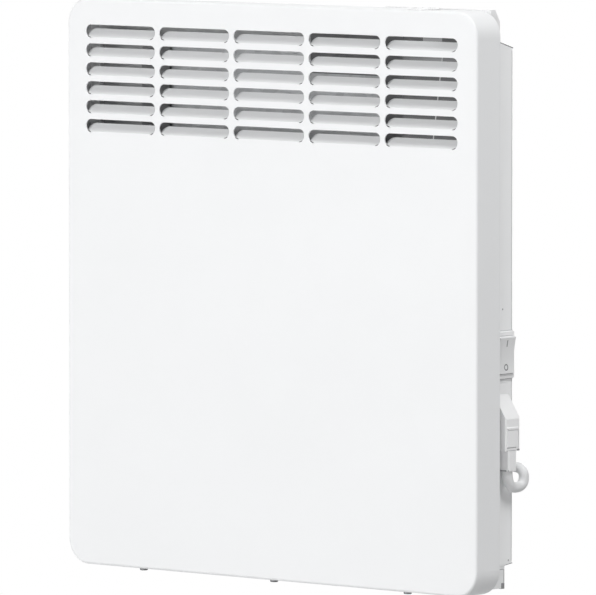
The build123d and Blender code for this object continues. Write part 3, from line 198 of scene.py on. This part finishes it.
def cast_brass(name, color):
    """Brass of one colour with an uneven gloss."""
    m = Mat(name, color, 0.3, metal=1.0)
    m.rough(m.noise(m.coords(), 400.0), 0.22, 0.42)
    return m.m


def circuit_board(name, color, other, track):
    """Green board with a lighter grid of tracks."""
    m = Mat(name, color, 0.35)
    grid = m.n.new("ShaderNodeTexBrick")
    grid.inputs["Scale"].default_value = 90.0
    for socket, tone in (("Color1", color), ("Color2", other), ("Mortar", track)):
        grid.inputs[socket].default_value = (*tone, 1)
    m.link(m.coords(), grid.inputs["Vector"])
    m.color(grid.outputs["Color"])
    return m.m


def faded(name, color, first, last):
    """Plain sheet whose tone changes along X, between two ends that each give their X and their colour."""
    m = Mat(name, color, 0.7, 0.0, 0.3)
    split = m.n.new("ShaderNodeSeparateXYZ")
    m.link(m.coords(), split.inputs[0])
    share = m.n.new("ShaderNodeMapRange")
    share.inputs["From Min"].default_value, share.inputs["From Max"].default_value = first[0], last[0]
    m.link(split.outputs["X"], share.inputs["Value"])
    blend = m.n.new("ShaderNodeMix")
    blend.data_type = "RGBA"
    blend.inputs["A"].default_value = (*first[1:], 1)
    blend.inputs["B"].default_value = (*last[1:], 1)
    m.link(share.outputs["Result"], blend.inputs["Factor"])
    m.color(blend.outputs["Result"])
    return m.m


mats = {
    "cover": powder("cover_coat", (0.835, 0.843, 0.850), 0.40),
    "casing": powder("casing_coat", (0.925, 0.931, 0.935), 0.46, 1.4),
    "rail": powder("rail_coat", (0.85, 0.856, 0.86), 0.46, 1.4),
    "bracket": powder("bracket_coat", (0.85, 0.857, 0.863), 0.48, 1.6),
    "plastic": plastic("white_plastic", (0.885, 0.888, 0.892), 0.42),
    "rocker": plastic("rocker_plastic", (0.80, 0.805, 0.81), 0.32, 0.5),
    "grey": plastic("grey_plastic", (0.40, 0.405, 0.415), 0.5),
    "dark": plastic("dark_plastic", (0.035, 0.036, 0.04), 0.55),
    # the compartment liner is coloured pale grey, painted light for the dim inside of the compartment
    "liner": plastic("liner_painted_light", (0.62, 0.622, 0.63), 0.8, 0.6),
    "baffle": plastic("baffle_sheet", (0.18, 0.181, 0.185), 0.7, 0.6),
    "rubber": sheath("dark_rubber", (0.28, 0.28, 0.285), 0.75),
    "cord": sheath("cord_sheath", (0.75, 0.755, 0.76), 0.46),
    "zinc": steel("zinc_steel", (0.62, 0.63, 0.645)),
    "screw": steel("blackened_steel", (0.20, 0.203, 0.21), 0.45),
    "shield": steel("shield_steel", (0.49, 0.497, 0.508), 0.42),
    "ceramic": plastic("ceramic", (0.78, 0.75, 0.68), 0.35, 0.4),
    "aluminium": extruded("extruded_aluminium", (0.78, 0.79, 0.80), (0.68, 0.69, 0.70), (0.83, 0.84, 0.85)),
    "brass": cast_brass("brass", (0.72, 0.53, 0.25)),
    "board": circuit_board("circuit_board", (0.045, 0.085, 0.06), (0.04, 0.075, 0.05), (0.07, 0.13, 0.09)),
    # thin details that only this script makes
    "mark": plastic("mark_ink", (0.20, 0.205, 0.21), 0.5, 0.2),
    # near-black of the painted shadow in the gap along the upper edge of the casing's sides
    "seam": sheath("seam_shadow_dark", (0.075, 0.075, 0.08), 0.7),
    # grey of painted shadow lines, at the cable outlet's gaps and under the lower edge of the casing's sides
    "shadow_line": plastic("shadow_line_grey", (0.30, 0.303, 0.31), 0.6, 0.4),
    # pale grey of the painted shadow ring round the bezel and of the painted shade lines on the casing's sides; the
    # side rivets share it as their own colour
    "pale_shade_line_and_rivet": plastic("pale_shade_line_and_rivet", (0.50, 0.503, 0.51), 0.6, 0.4),
    "sheet_dark": plastic("sheet_dark", (0.075, 0.0755, 0.077), 0.7, 0.5),
    "sheet_pale": plastic("sheet_pale", (0.26, 0.262, 0.266), 0.6, 0.5),
    "sheet_grey": plastic("sheet_grey", (0.110, 0.111, 0.114), 0.7, 0.5),
    "sheet_mid": plastic("sheet_mid", (0.19, 0.191, 0.195), 0.7, 0.5),
    "sheet_bead": plastic("sheet_bead", (0.50, 0.503, 0.51), 0.6, 0.5),
    "guide": plastic("guide_grey", (0.46, 0.463, 0.47), 0.7, 0.5),
    # painted shading: darker towards the left end of the sheet, lighter towards its right end
    "sheet_painted_shading": faded("sheet_painted_shading", (0.19, 0.191, 0.195), (0.112, 0.115, 0.116, 0.119), (0.170, 0.29, 0.292, 0.296)),
    "clearance": plastic("clearance_shadow", (0.03, 0.03, 0.032), 0.8, 0.2),
}

NODE_MATERIAL = {
    "front_cover": "cover", "rear_casing": "casing", "intake_rail": "rail", "wall_bracket": "bracket",
    "control_housing": "plastic", "control_knob": "plastic", "switch_frame": "plastic", "switch_rocker": "rocker",
    "cable_outlet": "plastic", "outlet_nut": "plastic", "locking_catch_left": "plastic",
    "locking_catch_right": "plastic", "mains_plug": "plastic",
    "setpoint_unit": "grey", "setpoint_shaft": "grey", "terminal_block": "grey", "sensor_clip": "grey",
    "cord_clamp": "grey", "board_posts": "grey",
    "compartment_liner": "liner", "control_baffle": "baffle", "partition_grommet": "dark", "power_relay": "dark",
    "board_parts": "dark", "room_sensor": "dark", "coil_tie": "dark",
    "rail_end_plugs": "rubber", "wall_buffers": "rubber",
    "mains_cord": "cord", "cord_coil": "cord", "inner_lead": "cord", "sensor_lead": "cord",
    "cover_screws": "screw", "bracket_screws": "zinc", "setpoint_nut": "zinc", "plug_pins": "zinc",
    "cutout_bracket": "zinc", "element_brackets": "zinc", "rear_shield": "shield", "front_shield": "shield",
    "partition": "zinc", "element_rod": "zinc",
    "heating_element": "aluminium", "switch_blades": "brass", "terminal_screws": "brass",
    "control_board": "board", "element_bushes": "ceramic", "overheat_cutout": "ceramic",
}
for name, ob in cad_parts.items():
    ob.data.materials.clear()
    ob.data.materials.append(mats[NODE_MATERIAL[name]])


# ------------------------------------------------------------------ the mains cord: free stretch and coil
CORD = 0.0082                                       # diameter
EXIT_X, EXIT_Y, EXIT_Z = 0.2088, -0.0392, -0.1293   # mouth of the outlet's neck
TURN_LOW, TURN_REAR = -0.1430, -0.1273              # heights of the tight turn under the mouth
RUN_Z, RUN_XS = -0.1291, (0.1810, 0.1500)           # stretch behind the casing, which runs into the coil
COIL_LAYERS = (-0.019, -0.010)                      # Y of the coil's first and second layer
COIL_RADIUS, COIL_PITCH = 0.046, 0.009              # first turn, and from one turn to the next
LAYER_TURNS, STEPS = 1.375, 16                      # turns of a layer, and points in a turn
TAIL_X, TAIL_LEAN, TAIL_BEND = 0.088, math.radians(20.0), 0.041     # where the cord leaves the coil for the plug
PLUG_WAY, PLUG_SPAN = 0.022, 0.010                  # straight stretch to the plug, and its last span

coil_middle = Vector((0.134, 0.0, -0.0831))
layer_angle = 2 * math.pi * LAYER_TURNS
whole_angle = 2 * layer_angle + math.pi                     # two layers, and half a turn from one to the other
outside = 1 / (0.5 + 0.5 * math.cos(math.pi / STEPS))       # the line runs inside its control points


def winding(angle):
    """Radius of the coil at an angle from its start, and which part of the way to the second layer is done.

    The first layer winds inwards and the second outwards.
    """
    if angle <= layer_angle:
        return COIL_RADIUS - COIL_PITCH * angle / (2 * math.pi), 0.0
    over = angle - layer_angle
    if angle <= layer_angle + math.pi:
        return COIL_RADIUS - COIL_PITCH * (LAYER_TURNS + math.sin(over) / (2 * math.pi)), (1 - math.cos(over)) / 2
    return COIL_RADIUS - COIL_PITCH * LAYER_TURNS + COIL_PITCH * (over - math.pi) / (2 * math.pi), 1.0


route = [
    (EXIT_X, EXIT_Y, EXIT_Z),
    (EXIT_X, EXIT_Y, TURN_LOW),
    (EXIT_X, COIL_LAYERS[0], TURN_LOW),
    (EXIT_X, COIL_LAYERS[0], TURN_REAR),
    *((x, COIL_LAYERS[0], RUN_Z) for x in RUN_XS),
]
count = round(whole_angle / (2 * math.pi) * STEPS)
for k in range(1, count + 1):
    angle = whole_angle * (k - 0.5) / count
    r, done = winding(angle)
    t = -math.pi / 2 - angle
    route.append((
        coil_middle.x + r * outside * math.cos(t),
        COIL_LAYERS[0] + (COIL_LAYERS[1] - COIL_LAYERS[0]) * done,
        coil_middle.z + r * outside * math.sin(t),
    ))
tail_end = Vector((
    TAIL_X + TAIL_BEND * (1 - math.cos(TAIL_LEAN)),
    COIL_LAYERS[1],
    coil_middle.z + TAIL_BEND * math.sin(TAIL_LEAN),
))
plug_way = Vector((math.sin(TAIL_LEAN), 0, math.cos(TAIL_LEAN)))
plug_seat = tail_end + plug_way * PLUG_WAY
route.append((TAIL_X, COIL_LAYERS[1], coil_middle.z + TAIL_BEND * math.tan(TAIL_LEAN / 2)))
route.append(tuple(plug_seat - plug_way * PLUG_SPAN))
route.append(tuple(plug_seat))

curve = bpy.data.curves.new("mains_lead", "CURVE")
curve.dimensions = "3D"
spline = curve.splines.new("NURBS")
spline.points.add(len(route) - 1)
for point, co in zip(spline.points, route):
    point.co = (*co, 1)
    point.radius = CORD / 2
spline.order_u = 3
spline.use_endpoint_u = True
spline.resolution_u = 8
curve.bevel_depth = 1.0        # times each point's radius, so that the curve's box is its own
curve.bevel_resolution = 6
curve.use_fill_caps = True
lead = bpy.data.objects.new("mains_lead", curve)
scene.collection.objects.link(lead)
curve.materials.append(mats["cord"])
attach(lead, "heater")
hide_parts("mains_cord", "cord_coil")


def spline_length(curve_object):
    """Length of a curve object's line, without its bevel."""
    depth = curve_object.data.bevel_depth
    curve_object.data.bevel_depth = 0
    mesh = bpy.data.meshes.new_from_object(curve_object)
    curve_object.data.bevel_depth = depth
    points = mesh.vertices
    total = sum((points[e.vertices[0]].co - points[e.vertices[1]].co).length for e in mesh.edges)
    bpy.data.meshes.remove(mesh)
    return total


print("spline length", spline_length(lead))


# ------------------------------------------------------------------ helpers for the thin details
def spread(first, last, count):
    """Evenly spaced numbers from first to last, with both."""
    return [first + (last - first) * k / (count - 1) for k in range(count)]


def circle(count):
    """Evenly spaced angles of a full turn."""
    return [2 * math.pi * k / count for k in range(count)]


def closed_pieces(name, pieces, material, body, caps=True):
    """One mesh of closed pieces, each made of rings of points in mm. Each ring joins the next.

    The first and the last ring are capped, or without caps they join each other.
    """
    bm = bmesh.new()
    for layers in pieces:
        rings = [[bm.verts.new(Vector(p) * MM) for p in layer] for layer in layers]
        for one, two in list(zip(rings, rings[1:])) + ([] if caps else [(rings[-1], rings[0])]):
            for i in range(len(one)):
                j = (i + 1) % len(one)
                bm.faces.new((one[i], one[j], two[j], two[i]))
        if caps:
            bm.faces.new(rings[0])
            bm.faces.new(rings[-1])
    bmesh.ops.recalc_face_normals(bm, faces=bm.faces)
    mesh = bpy.data.meshes.new(name)
    bm.to_mesh(mesh)
    bm.free()
    mesh.materials.append(mats[material])
    ob = bpy.data.objects.new(name, mesh)
    scene.collection.objects.link(ob)
    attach(ob, body)


def strip(name, line, across, out, material, body="heater"):
    """A rounded strip along a line; across and out are its half width and its height, as vectors."""
    a, o = Vector(across), Vector(out)
    section = [(-1, 0), (-1, 0.55), (-0.75, 0.9), (0, 1), (0.75, 0.9), (1, 0.55), (1, 0)]
    rings = [[Vector(p) + a * u + o * v for u, v in section] for p in line]
    closed_pieces(name, [rings], material, body)


def arc_through(p, q, r):
    """Centre and radius of the circle through three points of a plane."""
    (ax, ay), (bx, by), (cx, cy) = p, q, r
    d = 2 * (ax * (by - cy) + bx * (cy - ay) + cx * (ay - by))
    a2, b2, c2 = ax * ax + ay * ay, bx * bx + by * by, cx * cx + cy * cy
    ux = (a2 * (by - cy) + b2 * (cy - ay) + c2 * (ay - by)) / d
    uy = (a2 * (cx - bx) + b2 * (ax - cx) + c2 * (bx - ax)) / d
    return (ux, uy), math.hypot(ax - ux, ay - uy)


# ------------------------------------------------------------------ switch: marks, lips and gasket
# on and off marks, moulded a little proud of the rocker's hollow face; the face goes through three points,
# at its upper edge, at the pivot's height and at its lower edge, each so far out from the pivot
ROCKER_Y, PIVOT_X, PIVOT_Z, SWING = -36.6, 202.3, -40.3, 14.73
TOP_OUT, MIDDLE_OUT, LOW_OUT = 5.4, 3.2, 3.8
face_middle, face_radius = arc_through(
    (PIVOT_X + TOP_OUT, PIVOT_Z + math.sqrt(SWING ** 2 - TOP_OUT ** 2)),
    (PIVOT_X + MIDDLE_OUT, PIVOT_Z),
    (PIVOT_X + LOW_OUT, PIVOT_Z - math.sqrt(SWING ** 2 - LOW_OUT ** 2)),
)


def on_rocker(y, z, proud):
    """A point so far proud of the rocker's face."""
    return (face_middle[0] - math.sqrt(face_radius ** 2 - (z - face_middle[1]) ** 2) + proud, y, z)


LINE_HALF, MARK_PROUD, MARK_SUNK, MARK_EDGE = 0.42, 0.10, -0.12, 0.6
LINE_SECTION = [
    (-LINE_HALF, MARK_SUNK), (-LINE_HALF, MARK_PROUD * MARK_EDGE), (-LINE_HALF * MARK_EDGE, MARK_PROUD),
    (LINE_HALF * MARK_EDGE, MARK_PROUD), (LINE_HALF, MARK_PROUD * MARK_EDGE), (LINE_HALF, MARK_SUNK),
]
BAR_LOW, BAR_TOP = PIVOT_Z + 6.4, PIVOT_Z + 11.5
closed_pieces("mark_on", [[
    [on_rocker(ROCKER_Y + w, z, h) for w, h in LINE_SECTION] for z in spread(BAR_LOW, BAR_TOP, 9)
]], "mark", "rocker")

RING_Y, RING_Z, RING_RADIUS, RING_TALL = ROCKER_Y - 0.2, PIVOT_Z - 9.5, 1.95, 1.1
closed_pieces("mark_off", [[
    [on_rocker(RING_Y + (RING_RADIUS + w) * math.cos(t), RING_Z + (RING_RADIUS + w) * RING_TALL * math.sin(t), h)
     for w, h in LINE_SECTION]
    for t in circle(48)
]], "mark", "rocker", caps=False)

# lips in the gaps above and below the rocker, clear of its swing
FRAME_X, LIP_HALF, LIP_REACH, LIP_PROUD, LIP_GAP = 204.5, 0.45, 9.5, 0.29, 0.35
for name, side in (("rocker_lip_top", 1), ("rocker_lip_low", -1)):
    lip_z = PIVOT_Z + side * (SWING + LIP_GAP)
    strip(name, [(FRAME_X - LIP_HALF, ROCKER_Y + y, lip_z) for y in (-LIP_REACH, LIP_REACH)],
          (LIP_HALF, 0, 0), (0, 0, -side * LIP_PROUD), "plastic")

# a ring of painted shadow round the bezel, on the casing's side, where the frame meets the casing
SIDE_X, BEZEL_HALF_Y, BEZEL_HALF_Z, BEZEL_Z, BEZEL_CORNER = 202.5, 11.2, 18.35, -40.3, 1.5
BEZEL_RING_SECTION = [(-0.1, 0.0), (-0.1, 0.35), (0.35, 0.35), (0.6, 0.2), (0.6, 0.0)]
corners = []
for across, up, start in ((1, 1, 0), (-1, 1, 90), (-1, -1, 180), (1, -1, 270)):
    for degrees in range(start, start + 91, 15):
        t = math.radians(degrees)
        corners.append((across * (BEZEL_HALF_Y - BEZEL_CORNER), up * (BEZEL_HALF_Z - BEZEL_CORNER),
                        math.cos(t), math.sin(t)))
closed_pieces("bezel_shadow_ring", [[
    [(SIDE_X + h, ROCKER_Y + y + (BEZEL_CORNER + w) * c, BEZEL_Z + z + (BEZEL_CORNER + w) * s)
     for w, h in BEZEL_RING_SECTION]
    for y, z, c, s in corners
]], "pale_shade_line_and_rivet", "heater", caps=False)


# ------------------------------------------------------------------ sheets that are seen through the slots
# insulating sheets in front of the setpoint unit and its wires, behind the last column; between the lower
# sheets and their flaps runs a beaded joint, which leans to the left on its way down
SHEET_Y, SHEET_THICK, SHEET_LEFT, SHEET_STEP, SHEET_RIGHT, SHEET_END = -72.3, 0.3, 131.0, 151.4, 170.7, 198.0
SHEET_TOP, SHEET_BREAK, SHEET_MID, SHEET_LOW, SHEET_GAP = 206.0, 192.5, 177.0, 112.0, 0.2
JOINT_START, JOINT_LEAN, JOINT_GAP, BEAD_HALF, BEAD_PROUD = 0.6, 0.143, 0.4, 0.5, 0.25


def sheet_edge(z):
    """Right edge of a lower sheet at a height."""
    return SHEET_RIGHT + JOINT_START - (SHEET_BREAK - z) * JOINT_LEAN


def flap_edge(z):
    """Left edge of the flap beside it."""
    return sheet_edge(z) + JOINT_GAP


def sheet_piece(name, z0, z1, left, right, material):
    """A flat sheet between two heights; its edges are numbers, or functions that say where they are at a height."""
    def edge(side, z):
        return side(z) if callable(side) else side

    outline = [(edge(left, z0), z0), (edge(right, z0), z0), (edge(right, z1), z1), (edge(left, z1), z1)]
    rings = [[(x, SHEET_Y + d, z) for x, z in outline] for d in (0, SHEET_THICK)]
    closed_pieces(name, [rings], material, "heater")


under_break, under_mid = SHEET_BREAK - SHEET_GAP, SHEET_MID - SHEET_GAP
sheet_piece("unit_shade", SHEET_BREAK, SHEET_TOP, SHEET_LEFT, SHEET_STEP, "sheet_dark")
sheet_piece("unit_plate", SHEET_BREAK, SHEET_TOP, SHEET_STEP, SHEET_RIGHT, "sheet_pale")
sheet_piece("unit_flap", SHEET_BREAK, SHEET_TOP, SHEET_RIGHT, SHEET_END, "sheet_dark")
# the upper wire sheet darkens towards its left end, a painted shading across it
sheet_piece("wire_sheet_top", SHEET_MID, under_break, SHEET_LEFT, sheet_edge, "sheet_painted_shading")
sheet_piece("wire_sheet_low", SHEET_LOW, under_mid, SHEET_LEFT, sheet_edge, "sheet_grey")
sheet_piece("wire_flap_top", SHEET_MID, under_break, flap_edge, SHEET_END, "sheet_mid")
sheet_piece("wire_flap_low", SHEET_LOW, under_mid, flap_edge, SHEET_END, "sheet_grey")
strip("wire_sheet_bead", [(sheet_edge(z) + JOINT_GAP / 2, SHEET_Y, z) for z in (SHEET_LOW, under_break)],
      (BEAD_HALF, 0, 0), (0, -BEAD_PROUD, 0), "sheet_bead")

# folded air guide beside the rear shield, behind the first two columns
GUIDE_LEFT, GUIDE_FOLD, GUIDE_RIGHT, GUIDE_LOW, GUIDE_TOP = -199.0, -158.0, -146.0, 104.0, 190.0
GUIDE_FRONT, GUIDE_REAR, GUIDE_TIP, GUIDE_SET = -52.3, -33.0, 0.5, 0.2
guide_plan = [
    (GUIDE_LEFT, GUIDE_FRONT), (GUIDE_FOLD, GUIDE_FRONT), (GUIDE_RIGHT, GUIDE_REAR),
    (GUIDE_RIGHT - GUIDE_TIP, GUIDE_REAR + GUIDE_SET), (GUIDE_FOLD - GUIDE_SET, GUIDE_FRONT + SHEET_THICK),
    (GUIDE_LEFT, GUIDE_FRONT + SHEET_THICK),
]
closed_pieces("air_guide", [[[(x, y, z) for x, y in guide_plan] for z in (GUIDE_LOW, GUIDE_TOP)]],
              "guide", "heater")


# ------------------------------------------------------------------ gaps, strokes and clearances
# painted shadow in the gaps of the cable outlet: dark strips round the mouth of its neck, and at the foot of its grip
NECK_X, NECK_LEFT, NECK_Y, NECK_REAR, NECK_MOUTH = 213.7, 204.2, -44.9, 4.2, -128.9
NECK_CORNER, NECK_GAP, NECK_PROUD = 0.9, 0.45, 0.15
OUTLET_X, OUTLET_FOOT, OUTLET_YS, OUTLET_GAP, OUTLET_PROUD = 214.5, -113.1, (-34.6, -31.4), 0.7, 0.12
strip("neck_gap_front", [(x, NECK_Y, NECK_MOUTH) for x in (NECK_LEFT, NECK_X - NECK_CORNER)],
      (0, 0, NECK_GAP), (0, -NECK_PROUD, 0), "shadow_line")
strip("neck_gap_side", [(NECK_X, y, NECK_MOUTH) for y in (NECK_Y + NECK_CORNER, NECK_Y + NECK_REAR)],
      (0, 0, NECK_GAP), (NECK_PROUD, 0, 0), "shadow_line")
strip("outlet_gap", [(OUTLET_X, y, OUTLET_FOOT) for y in OUTLET_YS], (0, 0, OUTLET_GAP), (OUTLET_PROUD, 0, 0), "shadow_line")

# scale of strokes on the knob, each wider than the last, and the index beside it on the cover
KNOB_X, KNOB_Y, KNOB_TOP, COVER_TOP = 146.5, -66.0, 226.3, 225.0
STROKES, STROKE_TURN, STROKE_ENDS, STROKE_HALF, STROKE_GROWS = 7, 45.0, (6.4, 9.2), 0.16, 0.05
INDEX_ENDS, INDEX_HALF, INK_PROUD = (13.0, 17.5), 0.45, 0.05


def radial(name, turn, ends, half, z, body):
    """A flat stroke pointing at the knob's axis, turn degrees round from the index."""
    c, s = math.cos(math.radians(turn)), math.sin(math.radians(turn))
    strip(name, [(KNOB_X + r * c, KNOB_Y + r * s, z) for r in ends], (-half * s, half * c, 0),
          (0, 0, INK_PROUD), "mark", body)


for k in range(STROKES):
    radial(f"knob_stroke_{k}", k * STROKE_TURN, STROKE_ENDS, STROKE_HALF + STROKE_GROWS * k, KNOB_TOP, "knob")
radial("knob_index", 0.0, INDEX_ENDS, INDEX_HALF, COVER_TOP, "heater")

# painted shadow in the punch clearance round the foot of each tongue, a thin dark crescent at both ends of every slot
SLOT_HALF, SLOT_R, FIRST_Z, PITCH_X, PITCH_Z, FRONT_Y = 36.8, 5.0, 199.5, 78.0, 15.0, -80.0
COLUMNS, ROWS = 5, 6
CRESCENT_FROM, CRESCENT_TO, CRESCENT_POINTS = -92, -50, 9    # degrees, and rings between them
CRESCENT_TIP, CRESCENT_SWELL = 0.05, 0.24                   # half width at its tips, and what its middle adds
CRESCENT_SECTION = [(-1, 0.3), (-1, -0.02), (0, -0.035), (1, -0.02), (1, 0.3)]


def crescent(x, z, side):
    """Rings of the crescent at one end of a slot: side is 1 for its right end and -1 for its left."""
    rings = []
    for k, degrees in enumerate(spread(CRESCENT_FROM, CRESCENT_TO, CRESCENT_POINTS)):
        t = math.radians(degrees)
        half = CRESCENT_TIP + CRESCENT_SWELL * math.sin(math.pi * (k + 0.5) / CRESCENT_POINTS)
        rings.append([
            (x + side * (SLOT_R + w * half) * math.cos(t), FRONT_Y + d, z + (SLOT_R + w * half) * math.sin(t))
            for w, d in CRESCENT_SECTION
        ])
    return rings


closed_pieces("louvre_clearance_shadow", [
    crescent((column - COLUMNS // 2) * PITCH_X + side * (SLOT_HALF - SLOT_R), FIRST_Z - row * PITCH_Z, side)
    for column in range(COLUMNS) for row in range(ROWS) for side in (-1, 1)
], "clearance", "heater")


# ------------------------------------------------------------------ seams and rivets on the casing's two sides
REAR_Y, FLANGE_Y = -25.0, -53.5
TOP_REAR, TOP_RISE, LOW_REAR, LOW_FALL = 195.5, 8.6, -202.0, 3.5
RAIL_X, RAIL_Y, RAIL_YS, RAIL_ZS = 202.0, -34.5, (-52.0, -45.0, -39.0), (-206.3, -210.0, -214.0, -217.2)
# seams along the upper and the lower edge, strips of painted shadow in the gaps at the side's folds: near-black above,
# grey below
TOP_FRONT, LOW_FRONT, EDGE_REAR = -53.0, RAIL_Y + 0.2, REAR_Y - 0.4
EDGE_INSET, EDGE_HALF, EDGE_SUNK, TOP_PROUD, LOW_PROUD = 0.45, 0.5, 0.15, 0.75, 0.6
# seams on the side's face, along its rear edge and round the rail's end, thin pale grey strips of painted shade along
# the rear fold and the rail's edges
FACE_SUNK, REAR_INSET, REAR_HEM, REAR_HALF, REAR_PROUD = 0.05, 1.75, 1.6, 0.3, 0.14
RAIL_SEAM_HALF, RAIL_EDGE_HALF, RAIL_SEAM_REAR, RAIL_EDGE_INSET, RAIL_PROUD = 0.45, 0.5, 0.9, 0.55, 0.16
RIVETS = ((-30.2, -199.7), (-37.5, -5.1))                   # Y and Z
RIVET_PROFILE = [(0.75, -0.1), (0.75, 0.12), (0.6, 0.26), (0.3, 0.32)]      # radius, and height over the side


def top_at(y):
    """Height of the side's upper edge, which rises towards the front."""
    return TOP_REAR + TOP_RISE * (REAR_Y - y) / (REAR_Y - FLANGE_Y)


def low_at(y):
    """Height of the side's lower edge, which falls towards the front."""
    return LOW_REAR - LOW_FALL * (REAR_Y - y) / (REAR_Y - FLANGE_Y)


for side, tail in ((1, "right"), (-1, "left")):
    edge_x, face_x, rail_x = side * (SIDE_X - EDGE_INSET), side * (SIDE_X - FACE_SUNK), side * (RAIL_X - FACE_SUNK)
    strip("seam_top_" + tail, [(edge_x, y, top_at(y) - EDGE_SUNK) for y in spread(TOP_FRONT, EDGE_REAR, 7)],
          (side * EDGE_HALF, 0, 0), (0, 0, TOP_PROUD), "seam")
    strip("seam_low_" + tail, [(edge_x, y, low_at(y) + EDGE_SUNK) for y in spread(LOW_FRONT, EDGE_REAR, 7)],
          (side * EDGE_HALF, 0, 0), (0, 0, -LOW_PROUD), "shadow_line")
    # on the switch's side the rear seam stops above and below the switch
    foot, head = low_at(REAR_Y) + REAR_HEM, top_at(REAR_Y) - REAR_HEM
    spans = [(foot, BEZEL_Z - BEZEL_HALF_Z), (BEZEL_Z + BEZEL_HALF_Z, head)] if side > 0 else [(foot, head)]
    for number, span in enumerate(spans, 1):
        strip(f"seam_rear_{tail}_{number}", [(face_x, REAR_Y - REAR_INSET, z) for z in span],
              (0, REAR_HALF, 0), (side * REAR_PROUD, 0, 0), "pale_shade_line_and_rivet")
    strip("rail_seam_" + tail, [(rail_x, y, RAIL_ZS[0]) for y in (*RAIL_YS, RAIL_Y - RAIL_SEAM_REAR)],
          (0, 0, RAIL_SEAM_HALF), (side * RAIL_PROUD, 0, 0), "pale_shade_line_and_rivet")
    strip("rail_edge_" + tail, [(rail_x, RAIL_Y - RAIL_EDGE_INSET, z) for z in RAIL_ZS],
          (0, RAIL_EDGE_HALF, 0), (side * RAIL_PROUD, 0, 0), "pale_shade_line_and_rivet")
    for number, (y, z) in enumerate(RIVETS, 1):
        closed_pieces(f"side_rivet_{tail}_{number}", [[
            [(side * (SIDE_X + h), y + r * math.cos(t), z + r * math.sin(t)) for t in circle(20)]
            for r, h in RIVET_PROFILE
        ]], "pale_shade_line_and_rivet", "heater")


# ------------------------------------------------------------------ floor, world and lamps
FLOOR_RADIUS, FLOOR_Z, FLOOR_GREY = 2.6, -0.95, 0.60
FADE_FROM, FADE_TO, FLOOR_GLOW = 0.5, 0.97, 0.72         # the seen floor grows white towards its edge
WORLD_TINT, WORLD_STRENGTH = (0.985, 0.99, 1.0), 0.12
LAMPS = (
    # name, place, what it looks at, size, power
    ("key", (-1.8, -3.6, 0.5), (0, 0, 0), 2.0, 95),
    ("fill", (1.9, -3.2, 0.3), (0, 0, 0), 1.6, 30),
    ("side", (2.1, -0.2, 2.7), (0.1, 0, 0), 1.6, 72),
    ("top", (0.1, -0.1, 3.0), (0.1, 0, 0), 1.6, 15),
    ("back", (-0.9, 3.6, 0.7), (0, 0, 0), 2.0, 62),
)


def floor_material():
    """Grey floor that takes the object's shadow, and that the camera sees mostly as white."""
    m = bpy.data.materials.new("floor_white")
    m.use_nodes = True
    nodes, join = m.node_tree.nodes, m.node_tree.links.new
    grey = nodes["Principled BSDF"]
    grey.inputs["Base Color"].default_value = (FLOOR_GREY, FLOOR_GREY, FLOOR_GREY, 1)
    grey.inputs["Roughness"].default_value = 0.9
    glow = nodes.new("ShaderNodeEmission")
    glow.inputs["Strength"].default_value = 1.0
    path = nodes.new("ShaderNodeLightPath")
    place = nodes.new("ShaderNodeTexCoord")
    away = nodes.new("ShaderNodeVectorMath")
    away.operation = "LENGTH"
    fade = nodes.new("ShaderNodeMapRange")
    fade.interpolation_type = "SMOOTHSTEP"
    fade.inputs["From Min"].default_value = FADE_FROM
    fade.inputs["From Max"].default_value = FLOOR_RADIUS * FADE_TO
    fade.inputs["To Min"].default_value = FLOOR_GLOW
    fade.inputs["To Max"].default_value = 1.0
    seen = nodes.new("ShaderNodeMath")
    seen.operation = "MULTIPLY"
    both = nodes.new("ShaderNodeMixShader")
    join(place.outputs["Object"], away.inputs[0])
    join(away.outputs["Value"], fade.inputs["Value"])
    join(path.outputs["Is Camera Ray"], seen.inputs[0])
    join(fade.outputs["Result"], seen.inputs[1])
    join(seen.outputs[0], both.inputs["Fac"])
    join(grey.outputs[0], both.inputs[1])
    join(glow.outputs[0], both.inputs[2])
    join(both.outputs[0], nodes["Material Output"].inputs["Surface"])
    return m


def studio_world():
    """Dim world light, behind which camera, transmission and glossy rays see plain white."""
    world = bpy.data.worlds.new("studio")
    world.use_nodes = True
    nodes, join = world.node_tree.nodes, world.node_tree.links.new
    dim = nodes["Background"]
    dim.inputs["Color"].default_value = (*WORLD_TINT, 1)
    dim.inputs["Strength"].default_value = WORLD_STRENGTH
    white = nodes.new("ShaderNodeBackground")
    white.inputs["Color"].default_value = (1, 1, 1, 1)
    white.inputs["Strength"].default_value = 1.0
    path = nodes.new("ShaderNodeLightPath")
    total = path.outputs["Is Camera Ray"]
    for ray in ("Is Transmission Ray", "Is Glossy Ray"):
        add = nodes.new("ShaderNodeMath")
        add.operation = "ADD"
        add.use_clamp = True
        join(total, add.inputs[0])
        join(path.outputs[ray], add.inputs[1])
        total = add.outputs[0]
    both = nodes.new("ShaderNodeMixShader")
    join(total, both.inputs["Fac"])
    join(dim.outputs[0], both.inputs[1])
    join(white.outputs[0], both.inputs[2])
    join(both.outputs[0], nodes["World Output"].inputs["Surface"])
    return world


def area(name, at, look, size, power):
    """A square area lamp that looks at a point."""
    data = bpy.data.lights.new(name, "AREA")
    data.shape = "SQUARE"
    data.size = size
    data.energy = power
    lamp = bpy.data.objects.new(name, data)
    lamp.location = at
    lamp.rotation_euler = (Vector(look) - Vector(at)).to_track_quat("-Z", "Y").to_euler()
    scene.collection.objects.link(lamp)


floor_mesh = bpy.data.meshes.new("floor")
bm = bmesh.new()
bmesh.ops.create_circle(bm, cap_ends=True, segments=96, radius=FLOOR_RADIUS)
bm.to_mesh(floor_mesh)
bm.free()
floor = bpy.data.objects.new("floor", floor_mesh)
floor.location = (0, 0, FLOOR_Z)
scene.collection.objects.link(floor)
floor_mesh.materials.append(floor_material())
scene.world = studio_world()
for lamp_facts in LAMPS:
    area(*lamp_facts)
